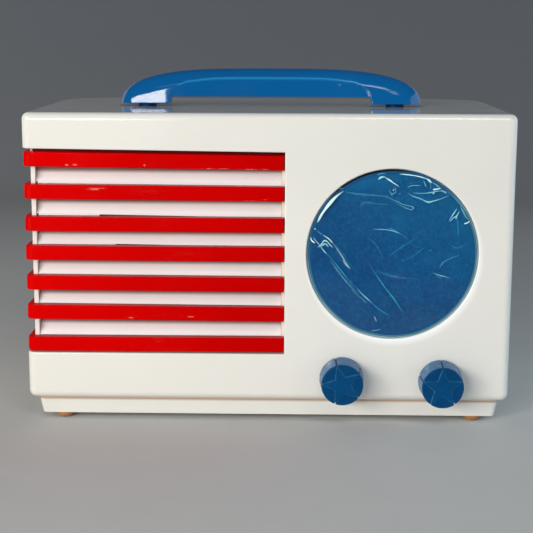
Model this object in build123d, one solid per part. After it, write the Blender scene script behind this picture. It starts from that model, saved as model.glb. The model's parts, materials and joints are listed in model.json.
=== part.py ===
from build123d import *
import math
import os

# Bakelite table radio. Millimetres, +X to the right of the front, +Y to the rear, +Z up.
# The origin is on the table under the middle of the whole object, knobs included.

# Case
CASE_W = 279.4
CASE_D = 160.0
CASE_TOP = 179.9
BODY_BOTTOM = 14.0
PLINTH_BOTTOM = 3.3
PLINTH_INSET_TOP = 4.7
PLINTH_INSET_BOTTOM = 6.8
WALL = 5.0
FLOOR_T = 5.0
FRONT_CORNER_R = 4.6
INNER_CORNER_R = 2.0
REAR_CORNER_R = 36.0
EDGE_R = 4.0
LIP_R = 0.8

# Rear opening and cover
OPENING_HALF_W = 112.0
OPENING_Z = (22.5, 171.5)
REBATE = 2.5
COVER_GAP = 0.3
COVER_T = 2.2
COVER_RECESS = 2.0
COVER_CORNER_R = 8.0
VENT_R = 3.0
VENT_PITCH = 11.0
VENT_TOP_Z = 152.0
VENT_ROW = 9.5
SLOT_PITCH = 13.0
SLOT_HALF_W = 2.0
SLOT_Z = (36.0, 56.0)
COVER_SCREW_X = 106.0
COVER_SCREW_Z = (27.5, 166.5)
BOSS_R = 4.5
INLET_X = 95.0
INLET_Z = 46.0
INLET_R = 3.3
INLET_L = 5.4
GROMMET_R = 9.0
GROMMET_NECK_R = 7.0

# Grille: bars set in a notch that wraps round the left front corner
GRILLE_Z = (41.3, 158.0)
GRILLE_TILT = 0.6
GRILLE_RIGHT = 9.4
GRILLE_SIDE_D = 38.0
GRILLE_FRONT_D = 6.0
SIDE_NOTCH = 3.9
BAR_TOPS = (156.1, 138.4, 120.5, 103.7, 86.0, 68.7, 50.7)
BAR_TILTS = (0.65, 0.32, 0.1, 0.1, 0.2, 0.25, -0.1)
BAR_H = 8.4
BAR_EDGE_R = 0.7
BAR_PROUD = 0.4
BAR_END_GAP = 0.35
SLAT_GAP = 0.08
SLAT_LIP_D = 6.4
SLAT_TOP_D = 10.4
SLAT_T = 2.0
SLAT_END_GAP = 0.15
SLAT_NOTCH = (1.2, 0.9)
NOTCHED_SLATS = (0, 1)
CHIPPED_SLATS = {1: (-97.0, -38.0, 0.6), 2: (-88.0, -52.0, 0.35)}
POST_W = 1.8
FRAME_T = 2.4
FRAME_BACK_D = 9.0
FRAME_LAP = 5.0
RAIL_Z = (46.0, 152.0)

# Speaker
SPEAKER_X = -63.0
SPEAKER_Z = 104.0
SPEAKER_R = 51.0
CONE_R = 44.0
POLE_R = 9.5
BAFFLE_D = 15.0
BAFFLE_T = 3.0

# Dial
DIAL_X = 70.8
DIAL_Z = 100.1
DIAL_R = 49.1
LENS_GAP = 0.3
LENS_D = 0.8
LENS_T = 2.0
FILM_T = 0.25
DISC_T = 1.5
DIAL_SCREW_R = 51.6
DISC_MARGIN = 1.7

# Controls
KNOB_X = (42.7, 99.8)
KNOB_Z = (27.5, 26.3)
KNOB_BACK_R = 12.8
KNOB_FRONT_R = 12.0
KNOB_GAP = 1.0
KNOB_PROUD = 16.5
KNOB_TURN = (16.0, 0.5)
KNOB_POINTS = 5
KNOB_GROOVE = (1.1, 0.9)
STAR_H = 0.7
STAR_INNER = 0.42
SHAFT_R = 3.175
SHAFT_GAP = 0.05
SHAFT_IN_KNOB = 11.0
SHAFT_HOLE_R = 5.0
SPOOL_R = 4.0

# Handle
HANDLE_HALF = 91.5
HANDLE_TOP = 202.6
HANDLE_UNDER = 185.7
HANDLE_D = 72.0
HANDLE_W = 19.0
HANDLE_DOME_R = 5.5
CROWN_STEPS = 16
CROWN_ACROSS = 0.59
CROWN_UP = 0.87
HANDLE_FOOT_IN = 60.5
HANDLE_SCREW_X = 75.8
SPACER_R = 5.6
SPACER_T = 2.4

# Chassis and what stands on it
CHASSIS_HALF_W = 118.0
CHASSIS_D = (24.0, 134.0)
CHASSIS_T = 1.2
DECK_Z = 48.0
LIP_W = 12.0
GANG_X = 75.0
GANG_Z = 84.0
DRUM_R = 30.0
DRUM_D = 14.0
DRUM_T = 5.0
ROTOR_R = 20.0
GANG_D = (32.0, 74.0)
CORD_R = 0.5
VALVE_SPOTS = ((-84.0, 115.0), (-46.0, 106.0), (-6.0, 112.0), (38.0, 110.0), (84.0, 112.0))
METAL_VALVES = (0, 1, 2)
GLASS_VALVES = (3, 4)
CAN_SPOTS = ((-24.0, 70.0), (16.0, 72.0))
FILTER_SPOT = (-100.5, 77.0)
TRANSFORMER_SPOT = (22.0, 40.0)
FOOT_SPOTS = ((-120.3, 12.0), (120.3, 12.0), (-108.0, 136.0), (108.0, 136.0))
FOOT_R = 5.2
CHASSIS_SCREW_SPOTS = ((-112.0, 44.0), (112.0, 44.0), (-112.0, 114.0), (112.0, 114.0))

FRONT = (KNOB_PROUD - CASE_D) / 2
SIDE = CASE_W / 2
FLOOR_Z = PLINTH_BOTTOM + FLOOR_T
INNER_TOP = CASE_TOP - WALL
STAND = (Align.CENTER, Align.CENTER, Align.MIN)


# ---------------------------------------------------------------- shapes
# Depths, called d, are measured back from the plane of the case front.

def block(x0, x1, d0, d1, z0, z1):
    """Box between two opposite corners."""
    centre = Pos((x0 + x1) / 2, FRONT + (d0 + d1) / 2, (z0 + z1) / 2)
    return centre * Box(x1 - x0, d1 - d0, z1 - z0)


def rod(x, z, radius, d0, d1):
    """Cylinder from front to back."""
    return Pos(x, FRONT + d0, z) * Rot(-90, 0, 0) * Cylinder(radius, d1 - d0, align=STAND)


def cone(x, z, radius0, radius1, d0, d1):
    """Cone frustum from front to back."""
    return Pos(x, FRONT + d0, z) * Rot(-90, 0, 0) * Cone(radius0, radius1, d1 - d0, align=STAND)


def post(x, d, radius, z0, z1):
    """Upright cylinder."""
    return Pos(x, FRONT + d, z0) * Cylinder(radius, z1 - z0, align=STAND)


def plan(inset, front_r, z):
    """Outline of the case seen from above, moved inwards by inset."""
    depth = CASE_D - 2 * inset
    face = Rectangle(CASE_W - 2 * inset, depth)
    face = fillet(face.vertices().group_by(Axis.Y)[-1], REAR_CORNER_R - inset)
    face = fillet(face.vertices().group_by(Axis.Y)[0], front_r)
    return Pos(0, FRONT + CASE_D / 2, z) * face


def upright_panel(half_w, z0, z1, corner_r, d0, d1):
    """Flat panel across the object with rounded corners."""
    face = RectangleRounded(2 * half_w, z1 - z0, corner_r)
    place = Pos(0, FRONT + d0, (z0 + z1) / 2) * Rot(-90, 0, 0)
    return place * extrude(face, d1 - d0)


def round_front(solid, radius):
    """Round the front rim of a disc that faces forwards."""
    rim = solid.edges().filter_by(GeomType.CIRCLE).sort_by(Axis.Y)[0]
    return fillet(rim, radius)


def machine_screw(place, shank_r, shank_l, head_r, head_h, slot_w):
    """Round-headed slotted screw, head up at the origin of place, shank below."""
    head = Cylinder(head_r, head_h, align=STAND)
    head = fillet(head.edges().sort_by(Axis.Z)[-1], head_h * 0.6)
    head -= Pos(0, 0, head_h) * Box(2 * head_r + 1, slot_w, head_h)
    shank = Cylinder(shank_r, shank_l, align=(Align.CENTER, Align.CENTER, Align.MAX))
    return place * (head + shank)


# ---------------------------------------------------------------- case

def notch():
    """Space of the grille: shallow across the front, and round the left side."""
    top = GRILLE_Z[1] + 6
    front = block(-SIDE - 1, GRILLE_RIGHT, -1, GRILLE_FRONT_D, GRILLE_Z[0], top)
    side = block(-SIDE - 1, -SIDE + SIDE_NOTCH, -1, GRILLE_SIDE_D, GRILLE_Z[0], top)
    lid = Pos(GRILLE_RIGHT, FRONT, GRILLE_Z[1]) * Rot(0, GRILLE_TILT, 0)
    lid *= Box(400, 200, 20, align=(Align.CENTER, Align.CENTER, Align.MIN))
    return (front + side) - lid


def case():
    outer = extrude(plan(0, FRONT_CORNER_R, BODY_BOTTOM), CASE_TOP - BODY_BOTTOM)
    outer = fillet(outer.edges().group_by(Axis.Z)[-1], EDGE_R)
    outer = fillet(outer.edges().group_by(Axis.Z)[0], EDGE_R)
    plinth = loft([plan(PLINTH_INSET_TOP, 3, BODY_BOTTOM + 1), plan(PLINTH_INSET_BOTTOM, 3, PLINTH_BOTTOM)])
    shell = outer + plinth
    low_inset = PLINTH_INSET_BOTTOM + WALL
    inner = extrude(plan(WALL, INNER_CORNER_R, BODY_BOTTOM + WALL), INNER_TOP - BODY_BOTTOM - WALL)
    shell -= inner
    shell -= extrude(plan(low_inset, INNER_CORNER_R, FLOOR_Z), BODY_BOTTOM + WALL + 1 - FLOOR_Z)
    shell -= upright_panel(OPENING_HALF_W, *OPENING_Z, COVER_CORNER_R - REBATE, CASE_D - 12, CASE_D + 1)
    rebate_d = CASE_D - COVER_RECESS - COVER_T
    rebate_z = (OPENING_Z[0] - REBATE, OPENING_Z[1] + REBATE)
    shell -= upright_panel(OPENING_HALF_W + REBATE, *rebate_z, COVER_CORNER_R, rebate_d, CASE_D + 1)
    shell -= notch()
    wall_gap = block(-SIDE + SIDE_NOTCH - 1, -SIDE + WALL + 1, 3, GRILLE_SIDE_D, *GRILLE_Z)
    shell -= wall_gap
    shell -= rod(DIAL_X, DIAL_Z, DIAL_R, -1, WALL + 1)
    for x, z in zip(KNOB_X, KNOB_Z):
        shell -= rod(x, z, SHAFT_HOLE_R, -1, WALL + 1)
    for side in (-1, 1):
        shell -= post(side * HANDLE_SCREW_X, HANDLE_D, 2.2, INNER_TOP - 1, CASE_TOP + 1)
    for x, d in CHASSIS_SCREW_SPOTS:
        shell -= post(x, d, 2.2, PLINTH_BOTTOM - 1, FLOOR_Z + 1)
        shell -= post(x, d, 4.6, PLINTH_BOTTOM - 1, PLINTH_BOTTOM + 2.4)
    for i in range(9):
        x = (i - 4) * 20
        shell -= block(x - 2, x + 2, 62, 112, PLINTH_BOTTOM - 1, FLOOR_Z + 1)
    for side in (-1, 1):
        for z in COVER_SCREW_Z:
            x = side * COVER_SCREW_X
            boss = rod(x, z, BOSS_R, CASE_D - 22, rebate_d)
            far_z = BODY_BOTTOM + 3 if z < DECK_Z else INNER_TOP + 2
            boss += block(x - BOSS_R, x + BOSS_R, CASE_D - 22, rebate_d, *sorted((z, far_z)))
            shell += boss
            shell -= rod(x, z, 1.5, CASE_D - 18, CASE_D)
    for x, z in dial_screw_spots():
        shell -= rod(x, z, 1.3, 1.6, WALL + 1)
    rims = []
    for edge in shell.edges():
        centre = edge.center()
        box = edge.bounding_box()
        if abs(box.max.Y - FRONT) < 0.01 and abs(box.min.Y - FRONT) < 0.01:
            if edge.geom_type == GeomType.CIRCLE and edge.radius > DIAL_R - 1:
                rims.append(edge)
            elif GRILLE_Z[0] - 1 < centre.Z < GRILLE_Z[1] + 2 and centre.X < GRILLE_RIGHT + 1:
                rims.append(edge)
    return fillet(rims, LIP_R)


def rear_cover():
    half_w = OPENING_HALF_W + REBATE - COVER_GAP
    z0 = OPENING_Z[0] - REBATE + COVER_GAP
    z1 = OPENING_Z[1] + REBATE - COVER_GAP
    d0 = CASE_D - COVER_RECESS - COVER_T
    board = upright_panel(half_w, z0, z1, COVER_CORNER_R - COVER_GAP, d0, d0 + COVER_T)
    holes = []
    for row in range(4):
        shift = VENT_PITCH / 2 * (row % 2)
        for col in range(17):
            x = (col - 8) * VENT_PITCH + shift
            holes.append(rod(x, VENT_TOP_Z - row * VENT_ROW, VENT_R, d0 - 1, d0 + COVER_T + 1))
    for col in range(13):
        x = (col - 6) * SLOT_PITCH
        holes.append(block(x - SLOT_HALF_W, x + SLOT_HALF_W, d0 - 1, d0 + COVER_T + 1, *SLOT_Z))
    holes.append(rod(INLET_X, INLET_Z, GROMMET_NECK_R, d0 - 1, d0 + COVER_T + 1))
    for side in (-1, 1):
        for z in COVER_SCREW_Z:
            holes.append(rod(side * COVER_SCREW_X, z, 2.0, d0 - 1, d0 + COVER_T + 1))
    return board - holes


def rear_cover_screws():
    screws = []
    d = CASE_D - COVER_RECESS
    for side in (-1, 1):
        for z in COVER_SCREW_Z:
            place = Pos(side * COVER_SCREW_X, FRONT + d, z) * Rot(-90, 0, 0) * Rot(0, 0, 25 * side + z)
            screws.append(machine_screw(place, 1.5, 12, 3.4, 1.8, 0.8))
    return Compound(screws)


def cord_grommet():
    """Ring sprung into the cover, with a flange on each face."""
    x, z = INLET_X, INLET_Z
    d0 = CASE_D - COVER_RECESS - COVER_T
    flange = (INLET_L - COVER_T) / 2
    ring = rod(x, z, GROMMET_R, d0 - flange, d0 + COVER_T + flange)
    ring -= rod(x, z, INLET_R, d0 - 3, d0 + COVER_T + 3)
    ring -= rod(x, z, GROMMET_R + 1, d0, d0 + COVER_T) - rod(x, z, GROMMET_NECK_R, d0, d0 + COVER_T)
    rims = ring.edges().filter_by(GeomType.CIRCLE).filter_by(lambda e: e.radius > GROMMET_R - 0.5)
    ends = rims.group_by(Axis.Y)
    return fillet(ends[0] + ends[-1], 1.0)


def feet():
    pads = []
    for x, d in FOOT_SPOTS:
        pad = post(x, d, FOOT_R, 0, PLINTH_BOTTOM)
        pads.append(fillet(pad.edges().group_by(Axis.Z)[0], 2.4))
    return Compound(pads)


# ---------------------------------------------------------------- grille

def grille_frame():
    left = -SIDE + SIDE_NOTCH
    right = GRILLE_RIGHT + FRAME_LAP
    z0 = GRILLE_Z[0] - FRAME_LAP
    z1 = GRILLE_Z[1] + FRAME_LAP
    inner_left = -SIDE + WALL
    window_right = GRILLE_RIGHT - POST_W
    front = block(inner_left, right, WALL, FRAME_BACK_D, z0, z1)
    front -= block(left + FRAME_T, window_right, 0, 20, *RAIL_Z)
    lap_d = GRILLE_SIDE_D + FRAME_LAP
    side = block(inner_left, left + FRAME_T, WALL, lap_d, z0, z1)
    laps = (front + side) & extrude(plan(WALL, INNER_CORNER_R, 0), CASE_TOP)
    mouth = block(left, left + FRAME_T, WALL, GRILLE_SIDE_D - 0.2, GRILLE_Z[0] + 0.2, GRILLE_Z[1] - 0.3)
    frame = laps + mouth
    frame -= block(left - 1, GRILLE_RIGHT + 0.01, 0, GRILLE_FRONT_D, GRILLE_Z[0] - 0.5, GRILLE_Z[1] + 2.2)
    return frame


def tilt_at(z, angle):
    """Small turn in the plane of the front, about the right end of the grille at height z."""
    return Pos(GRILLE_RIGHT, 0, z) * Rot(0, angle, 0) * Pos(-GRILLE_RIGHT, 0, -z)


def grille_bar(top, angle):
    x0 = -SIDE + 0.2
    x1 = GRILLE_RIGHT - BAR_END_GAP
    inner = -SIDE + SIDE_NOTCH - 0.1
    bar = block(x0, x1, BAR_PROUD, GRILLE_FRONT_D, top - BAR_H, top)
    bar += block(x0, inner, BAR_PROUD, GRILLE_SIDE_D - BAR_END_GAP, top - BAR_H, top)
    corner = bar.edges().filter_by(Axis.Z).sort_by(lambda e: e.center().X + e.center().Y)[0]
    bar = fillet(corner, FRONT_CORNER_R - 0.4)
    outer = bar.edges().filter_by(lambda e: e.bounding_box().max.Y < FRONT + BAR_PROUD + 0.01
                                  or e.bounding_box().max.X < x0 + 0.01
                                  or e.geom_type == GeomType.CIRCLE)
    bar = fillet(outer, BAR_EDGE_R)
    return tilt_at(top, angle) * bar


def grille_slat(i):
    """Louvre between two bars: upright at the top, flaring forwards to a lip."""
    high = BAR_TOPS[i] - BAR_H + 2.4
    low = BAR_TOPS[i + 1] + SLAT_GAP
    left = -SIDE + SIDE_NOTCH + FRAME_T + SLAT_END_GAP
    right = GRILLE_RIGHT - POST_W - SLAT_END_GAP
    bend_d = SLAT_TOP_D - 0.9
    bend_z = low + (high - low) * 0.38
    back = SLAT_T
    front_line = ThreePointArc((SLAT_TOP_D, high), (bend_d, bend_z), (SLAT_LIP_D, low))
    lip_line = Line((SLAT_LIP_D, low), (SLAT_LIP_D + back, low))
    back_line = ThreePointArc((SLAT_LIP_D + back, low), (bend_d + back, bend_z), (SLAT_TOP_D + back, high))
    top_line = Line((SLAT_TOP_D + back, high), (SLAT_TOP_D, high))
    face = make_face(Wire([front_line, lip_line, back_line, top_line]))
    slat = Pos(left, FRONT, 0) * extrude(Plane.YZ * face, right - left)
    if i in NOTCHED_SLATS:
        wide, tall = SLAT_NOTCH
        slat -= block(left - 1, left + wide, 0, SLAT_TOP_D, low - 1, low + tall)
    if i in CHIPPED_SLATS:
        x0, x1, tall = CHIPPED_SLATS[i]
        chip = make_face(Polyline((x0, low - 1), (x0, low + tall), (x1, low), (x1, low - 1), close=True))
        slat -= Pos(0, FRONT + SLAT_TOP_D, 0) * extrude(Plane.XZ * chip, SLAT_TOP_D)
    return tilt_at(low, BAR_TILTS[i + 1]) * slat


def grille_cloth():
    return block(-128, 12, BAFFLE_D - 0.5, BAFFLE_D, 50, 158)


def speaker_baffle():
    board = block(-128, 12, BAFFLE_D, BAFFLE_D + BAFFLE_T, 50, 158)
    return board - rod(SPEAKER_X, SPEAKER_Z, CONE_R, BAFFLE_D - 1, BAFFLE_D + BAFFLE_T + 1)


# ---------------------------------------------------------------- speaker

def speaker_basket():
    d = BAFFLE_D + BAFFLE_T
    basket = rod(SPEAKER_X, SPEAKER_Z, SPEAKER_R, d, d + 1.5)
    basket += cone(SPEAKER_X, SPEAKER_Z, SPEAKER_R - 3, 22, d, d + 28)
    basket += rod(SPEAKER_X, SPEAKER_Z, 22, d + 28, d + 30)
    basket -= rod(SPEAKER_X, SPEAKER_Z, CONE_R + 2, d - 1, d + 1.5)
    basket -= cone(SPEAKER_X, SPEAKER_Z, SPEAKER_R - 5, 20.5, d + 1.4, d + 28)
    basket -= rod(SPEAKER_X, SPEAKER_Z, POLE_R + 0.1, d + 20, d + 31)
    for i in range(4):
        window = Pos(30, 0, 0) * Box(22, 26, 60)
        turn = Pos(SPEAKER_X, FRONT + d + 15, SPEAKER_Z) * Rot(-90, 0, 0) * Rot(0, 0, 45 + 90 * i)
        cutter = turn * window
        basket -= cutter & block(-200, 200, d + 5, d + 24, 0, 200)
    return basket


def speaker_cone():
    d = BAFFLE_D + BAFFLE_T
    outer = cone(SPEAKER_X, SPEAKER_Z, CONE_R - 3, 12, d + 1, d + 21)
    inner = cone(SPEAKER_X, SPEAKER_Z, CONE_R - 4, 11, d + 0.99, d + 21.01)
    ring = rod(SPEAKER_X, SPEAKER_Z, CONE_R + 1.9, d + 0.3, d + 1.2)
    ring -= rod(SPEAKER_X, SPEAKER_Z, CONE_R - 3.8, d, d + 2)
    cap = Pos(SPEAKER_X, FRONT + d + 27, SPEAKER_Z) * Sphere(14)
    cap -= Pos(SPEAKER_X, FRONT + d + 27, SPEAKER_Z) * Sphere(13)
    cap &= cone(SPEAKER_X, SPEAKER_Z, CONE_R - 3.5, 11.5, d + 1, d + 21)
    return outer - inner + ring + cap


def speaker_magnet():
    d = BAFFLE_D + BAFFLE_T + 30
    magnet = rod(SPEAKER_X, SPEAKER_Z, 21, d, d + 18)
    magnet += rod(SPEAKER_X, SPEAKER_Z, POLE_R, d - 12, d)
    return round_front(magnet - rod(SPEAKER_X, SPEAKER_Z, 3, d + 10, d + 19), 1.0)


def output_transformer():
    """Laminated core with its winding, upright on the deck."""
    x, d = TRANSFORMER_SPOT
    z = DECK_Z
    core = block(x - 20, x + 20, d - 7, d + 7, z, z + 34)
    core -= block(x - 13, x - 6, d - 8, d + 8, z + 7, z + 27)
    core -= block(x + 6, x + 13, d - 8, d + 8, z + 7, z + 27)
    coil = block(x - 12.8, x + 12.8, d - 11, d + 11, z + 7.2, z + 26.8)
    return core + fillet(coil.edges().filter_by(Axis.Z), 3)


# ---------------------------------------------------------------- dial

def dial_screw_spots():
    spots = []
    for angle in (45, 135, 225, 315):
        turn = math.radians(angle)
        spots.append((DIAL_X + DIAL_SCREW_R * math.cos(turn), DIAL_Z + DIAL_SCREW_R * math.sin(turn)))
    return spots


def dial_disc():
    d = LENS_D + LENS_T
    return rod(DIAL_X, DIAL_Z, DIAL_R - DISC_MARGIN, d, d + DISC_T)


def dial_lens():
    lens = rod(DIAL_X, DIAL_Z, DIAL_R - LENS_GAP, LENS_D, LENS_D + LENS_T)
    return round_front(lens, 1.3)


def dial_film():
    return rod(DIAL_X, DIAL_Z, DIAL_R - LENS_GAP - 1.4, LENS_D - FILM_T, LENS_D)


def dial_plate():
    d = WALL
    plate = rod(DIAL_X, DIAL_Z, DIAL_R + 5, d, d + 1.2)
    plate += rod(DIAL_X, DIAL_Z, DIAL_R - LENS_GAP, LENS_D + LENS_T + DISC_T, d)
    plate -= rod(DIAL_X, DIAL_Z, 38, 0, 20)
    for x, z in dial_screw_spots():
        plate -= rod(x, z, 1.4, 0, 20)
    return plate


def dial_plate_screws():
    screws = []
    for x, z in dial_screw_spots():
        place = Pos(x, FRONT + WALL + 1.2, z) * Rot(-90, 0, 0)
        screws.append(machine_screw(place, 1.3, 4.4, 2.4, 1.5, 0.6))
    return Compound(screws)


def dial_lamp_holder():
    x = DIAL_X - 38
    z = DIAL_Z + 34
    foot = block(x - 9, x - 5, 6.2, 7.2, z - 8, z + 8)
    arm = block(x - 6, x - 5, 6.2, 20, z - 5, z + 5)
    cup = Pos(x, FRONT + 14, z) * Rot(0, 90, 0) * Cylinder(5.5, 10)
    cup -= Pos(x + 2, FRONT + 14, z) * Rot(0, 90, 0) * Cylinder(4.6, 10)
    return foot + arm + cup


def dial_lamp():
    x = DIAL_X - 38
    z = DIAL_Z + 34
    base = Pos(x - 3, FRONT + 14, z) * Rot(0, 90, 0) * Cylinder(4.5, 10, align=STAND)
    bulb = Pos(x + 11, FRONT + 14, z) * Sphere(5.2)
    neck = Pos(x + 5, FRONT + 14, z) * Rot(0, 90, 0) * Cylinder(3.6, 6, align=STAND)
    return base + neck + bulb


# ---------------------------------------------------------------- controls

def knob(i):
    """Drum knob, bored from behind, with notches on its rim and a star that reaches them."""
    length = KNOB_PROUD - KNOB_GAP
    body = Cone(KNOB_BACK_R, KNOB_FRONT_R, length, align=STAND)
    body = fillet(body.edges().group_by(Axis.Z)[-1], 1.4)
    body = fillet(body.edges().group_by(Axis.Z)[0], 0.5)
    step = 360 / KNOB_POINTS
    points = []
    for k in range(2 * KNOB_POINTS):
        radius = KNOB_FRONT_R if k % 2 == 0 else KNOB_FRONT_R * STAR_INNER
        angle = math.radians(90 + step / 2 * k)
        points.append((radius * math.cos(angle), radius * math.sin(angle)))
    star = extrude(Pos(0, 0, length - STAR_H) * make_face(Polyline(points, close=True)), STAR_H)
    around = Pos(0, 0, length) * Cylinder(KNOB_BACK_R, STAR_H, align=(Align.CENTER, Align.CENTER, Align.MAX))
    body -= around - star
    deep, wide = KNOB_GROOVE
    for k in range(KNOB_POINTS):
        groove = Pos(KNOB_BACK_R - deep + 1, 0, length / 2) * Box(2, wide, length + 2)
        lean = math.degrees(math.atan2(KNOB_FRONT_R - KNOB_BACK_R, length))
        body -= Rot(0, 0, 90 + step * k) * Rot(0, lean, 0) * groove
    body -= Pos(0, 0, -1) * Cylinder(SHAFT_R, SHAFT_IN_KNOB + 1, align=STAND)
    place = Pos(KNOB_X[i], FRONT - KNOB_GAP, KNOB_Z[i]) * Rot(90, 0, 0) * Rot(0, 0, KNOB_TURN[i])
    return place * body


def volume_control():
    x, z = KNOB_X[0], KNOB_Z[0]
    front = CHASSIS_D[0]
    can = rod(x, z, 12, front + CHASSIS_T, front + CHASSIS_T + 16)
    can += rod(x, z, 4.6, front - 8, front + CHASSIS_T)
    can += rod(x, z, 7.5, front - 2.2, front)
    can += block(x - 9, x + 9, front + CHASSIS_T + 3, front + CHASSIS_T + 5, z - 17, z)
    can -= rod(x, z, SHAFT_R + SHAFT_GAP, front - 9, front + CHASSIS_T + 10)
    return can


def volume_shaft():
    x, z = KNOB_X[0], KNOB_Z[0]
    return rod(x, z, SHAFT_R, -KNOB_GAP - SHAFT_IN_KNOB, CHASSIS_D[0] + 9)


def tuning_bushing():
    x, z = KNOB_X[1], KNOB_Z[1]
    front = CHASSIS_D[0]
    bush = rod(x, z, 4.6, front - 2.5, front + CHASSIS_T + 9)
    bush += rod(x, z, 7.5, front - 2.5, front)
    bush += rod(x, z, 6.5, front + CHASSIS_T, front + CHASSIS_T + 2.2)
    return bush - rod(x, z, SHAFT_R + SHAFT_GAP, front - 9, front + 20)


def tuning_shaft():
    x, z = KNOB_X[1], KNOB_Z[1]
    shaft = rod(x, z, SHAFT_R, -KNOB_GAP - SHAFT_IN_KNOB, CHASSIS_D[0] + 14)
    shaft += rod(x, z, SPOOL_R, DRUM_D - 0.5, DRUM_D + DRUM_T + 0.5)
    shaft += rod(x, z, SPOOL_R + 1.4, DRUM_D - 1.3, DRUM_D - 0.5)
    shaft += rod(x, z, SPOOL_R + 1.4, DRUM_D + DRUM_T + 0.5, DRUM_D + DRUM_T + 1.3)
    end = CHASSIS_D[0] + CHASSIS_T + 9
    return shaft + rod(x, z, 5.0, end + 0.3, end + 1.3)


def drive_drum():
    d = DRUM_D
    drum = rod(GANG_X, GANG_Z, DRUM_R, d, d + DRUM_T)
    groove = rod(GANG_X, GANG_Z, DRUM_R + 1, d + 1.2, d + DRUM_T - 1.2)
    drum -= groove - rod(GANG_X, GANG_Z, DRUM_R - 1.6, d, d + DRUM_T)
    for k in range(5):
        angle = math.radians(90 + 72 * k)
        drum -= rod(GANG_X + 17 * math.cos(angle), GANG_Z + 17 * math.sin(angle), 7, d - 1, d + DRUM_T + 1)
    drum += rod(GANG_X, GANG_Z, 6.5, d + DRUM_T, d + DRUM_T + 7)
    return drum - rod(GANG_X, GANG_Z, SHAFT_R, d - 1, d + DRUM_T + 8)


def belt_wire(x0, z0, r0, x1, z1, r1):
    """Open belt line round two pulleys, in a plane that faces forwards."""
    span = math.hypot(x1 - x0, z1 - z0)
    heading = math.atan2(z1 - z0, x1 - x0)
    lean = math.acos((r0 - r1) / span)
    upper = heading + lean
    lower = heading - lean

    def rim(x, z, radius, angle):
        return (x + radius * math.cos(angle), z + radius * math.sin(angle))

    big = ThreePointArc(rim(x0, z0, r0, upper), rim(x0, z0, r0, heading + math.pi), rim(x0, z0, r0, lower))
    small = ThreePointArc(rim(x1, z1, r1, lower), rim(x1, z1, r1, heading), rim(x1, z1, r1, upper))
    down = Line(rim(x0, z0, r0, lower), rim(x1, z1, r1, lower))
    back = Line(rim(x1, z1, r1, upper), rim(x0, z0, r0, upper))
    return Wire([big, down, small, back])


def drive_cord():
    groove_r = DRUM_R - 1.6 + CORD_R + 0.1
    spool_r = SPOOL_R + CORD_R + 0.1
    path = belt_wire(GANG_X, GANG_Z, groove_r, KNOB_X[1], KNOB_Z[1], spool_r)
    section = Plane(path @ 0, z_dir=path % 0) * Circle(CORD_R)
    loop = sweep(section, path=path)
    return Pos(0, FRONT + DRUM_D + DRUM_T / 2, 0) * Rot(90, 0, 0) * loop


# ---------------------------------------------------------------- chassis

def chassis():
    half = CHASSIS_HALF_W
    d0, d1 = CHASSIS_D
    t = CHASSIS_T
    pan = block(-half, half, d0, d1, FLOOR_Z, DECK_Z)
    pan -= block(-half + t, half - t, d0 + t, d1 - t, FLOOR_Z - 1, DECK_Z - t)
    for side in (-1, 1):
        x0, x1 = sorted((side * half, side * (half - LIP_W)))
        pan += block(x0, x1, d0, d1, FLOOR_Z, FLOOR_Z + t)
    for x, d in CHASSIS_SCREW_SPOTS:
        pan -= post(x, d, 1.5, FLOOR_Z - 1, FLOOR_Z + t + 1)
    for x, z in zip(KNOB_X, KNOB_Z):
        pan -= rod(x, z, 4.6, d0 - 1, d0 + t + 1)
    for x, d in VALVE_SPOTS:
        pan -= post(x, d, 13, DECK_Z - 5, DECK_Z + 1)
    pan -= post(*FILTER_SPOT, 8, DECK_Z - 5, DECK_Z + 1)
    return pan


def chassis_screws():
    screws = []
    for x, d in CHASSIS_SCREW_SPOTS:
        place = Pos(x, FRONT + d, PLINTH_BOTTOM + 2.4) * Rot(180, 0, x)
        screws.append(machine_screw(place, 1.5, 8, 3.8, 2.0, 0.9))
    return Compound(screws)


def valve_sockets():
    sockets = []
    for x, d in VALVE_SPOTS:
        body = post(x, d, 13, DECK_Z - 9, DECK_Z) + post(x, d, 15, DECK_Z, DECK_Z + 1.5)
        for k in range(8):
            angle = math.radians(22.5 + 45 * k)
            body -= post(x + 8.7 * math.cos(angle), d + 8.7 * math.sin(angle), 1.2, DECK_Z - 10, DECK_Z + 2)
        sockets.append(body)
    return Compound(sockets)


def metal_valve(spot):
    """Steel-shelled octal valve with its base wafer."""
    x, d = spot
    z = DECK_Z + 1.5
    shell = post(x, d, 16, z, z + 9) + post(x, d, 12.5, z + 9, z + 46)
    shell = fillet(shell.edges().group_by(Axis.Z)[-1], 4)
    shell += post(x, d, 15, z + 10.5, z + 12)
    return shell


def valve_base(spot):
    x, d = spot
    z = DECK_Z + 1.5
    base = post(x, d, 15.5, z, z + 14)
    return base - post(x, d, 14, z + 11, z + 20)


def valve_glass(spot):
    """Tubular glass envelope with a domed top."""
    x, d = spot
    z = DECK_Z + 1.5 + 11
    glass = post(x, d, 14, z, z + 60)
    glass = fillet(glass.edges().group_by(Axis.Z)[-1], 11)
    inner = post(x, d, 12.8, z + 1.2, z + 58.8)
    inner = fillet(inner.edges().group_by(Axis.Z)[-1], 9.8)
    return glass - inner


def if_can(spot):
    x, d = spot
    can = block(x - 15, x + 15, d - 15, d + 15, DECK_Z, DECK_Z + 62)
    can = fillet(can.edges().filter_by(Axis.Z), 4)
    can = fillet(can.edges().group_by(Axis.Z)[-1], 1.5)
    can -= post(x - 6, d, 2.5, DECK_Z + 58, DECK_Z + 63)
    return can - post(x + 6, d, 2.5, DECK_Z + 58, DECK_Z + 63)


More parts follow.
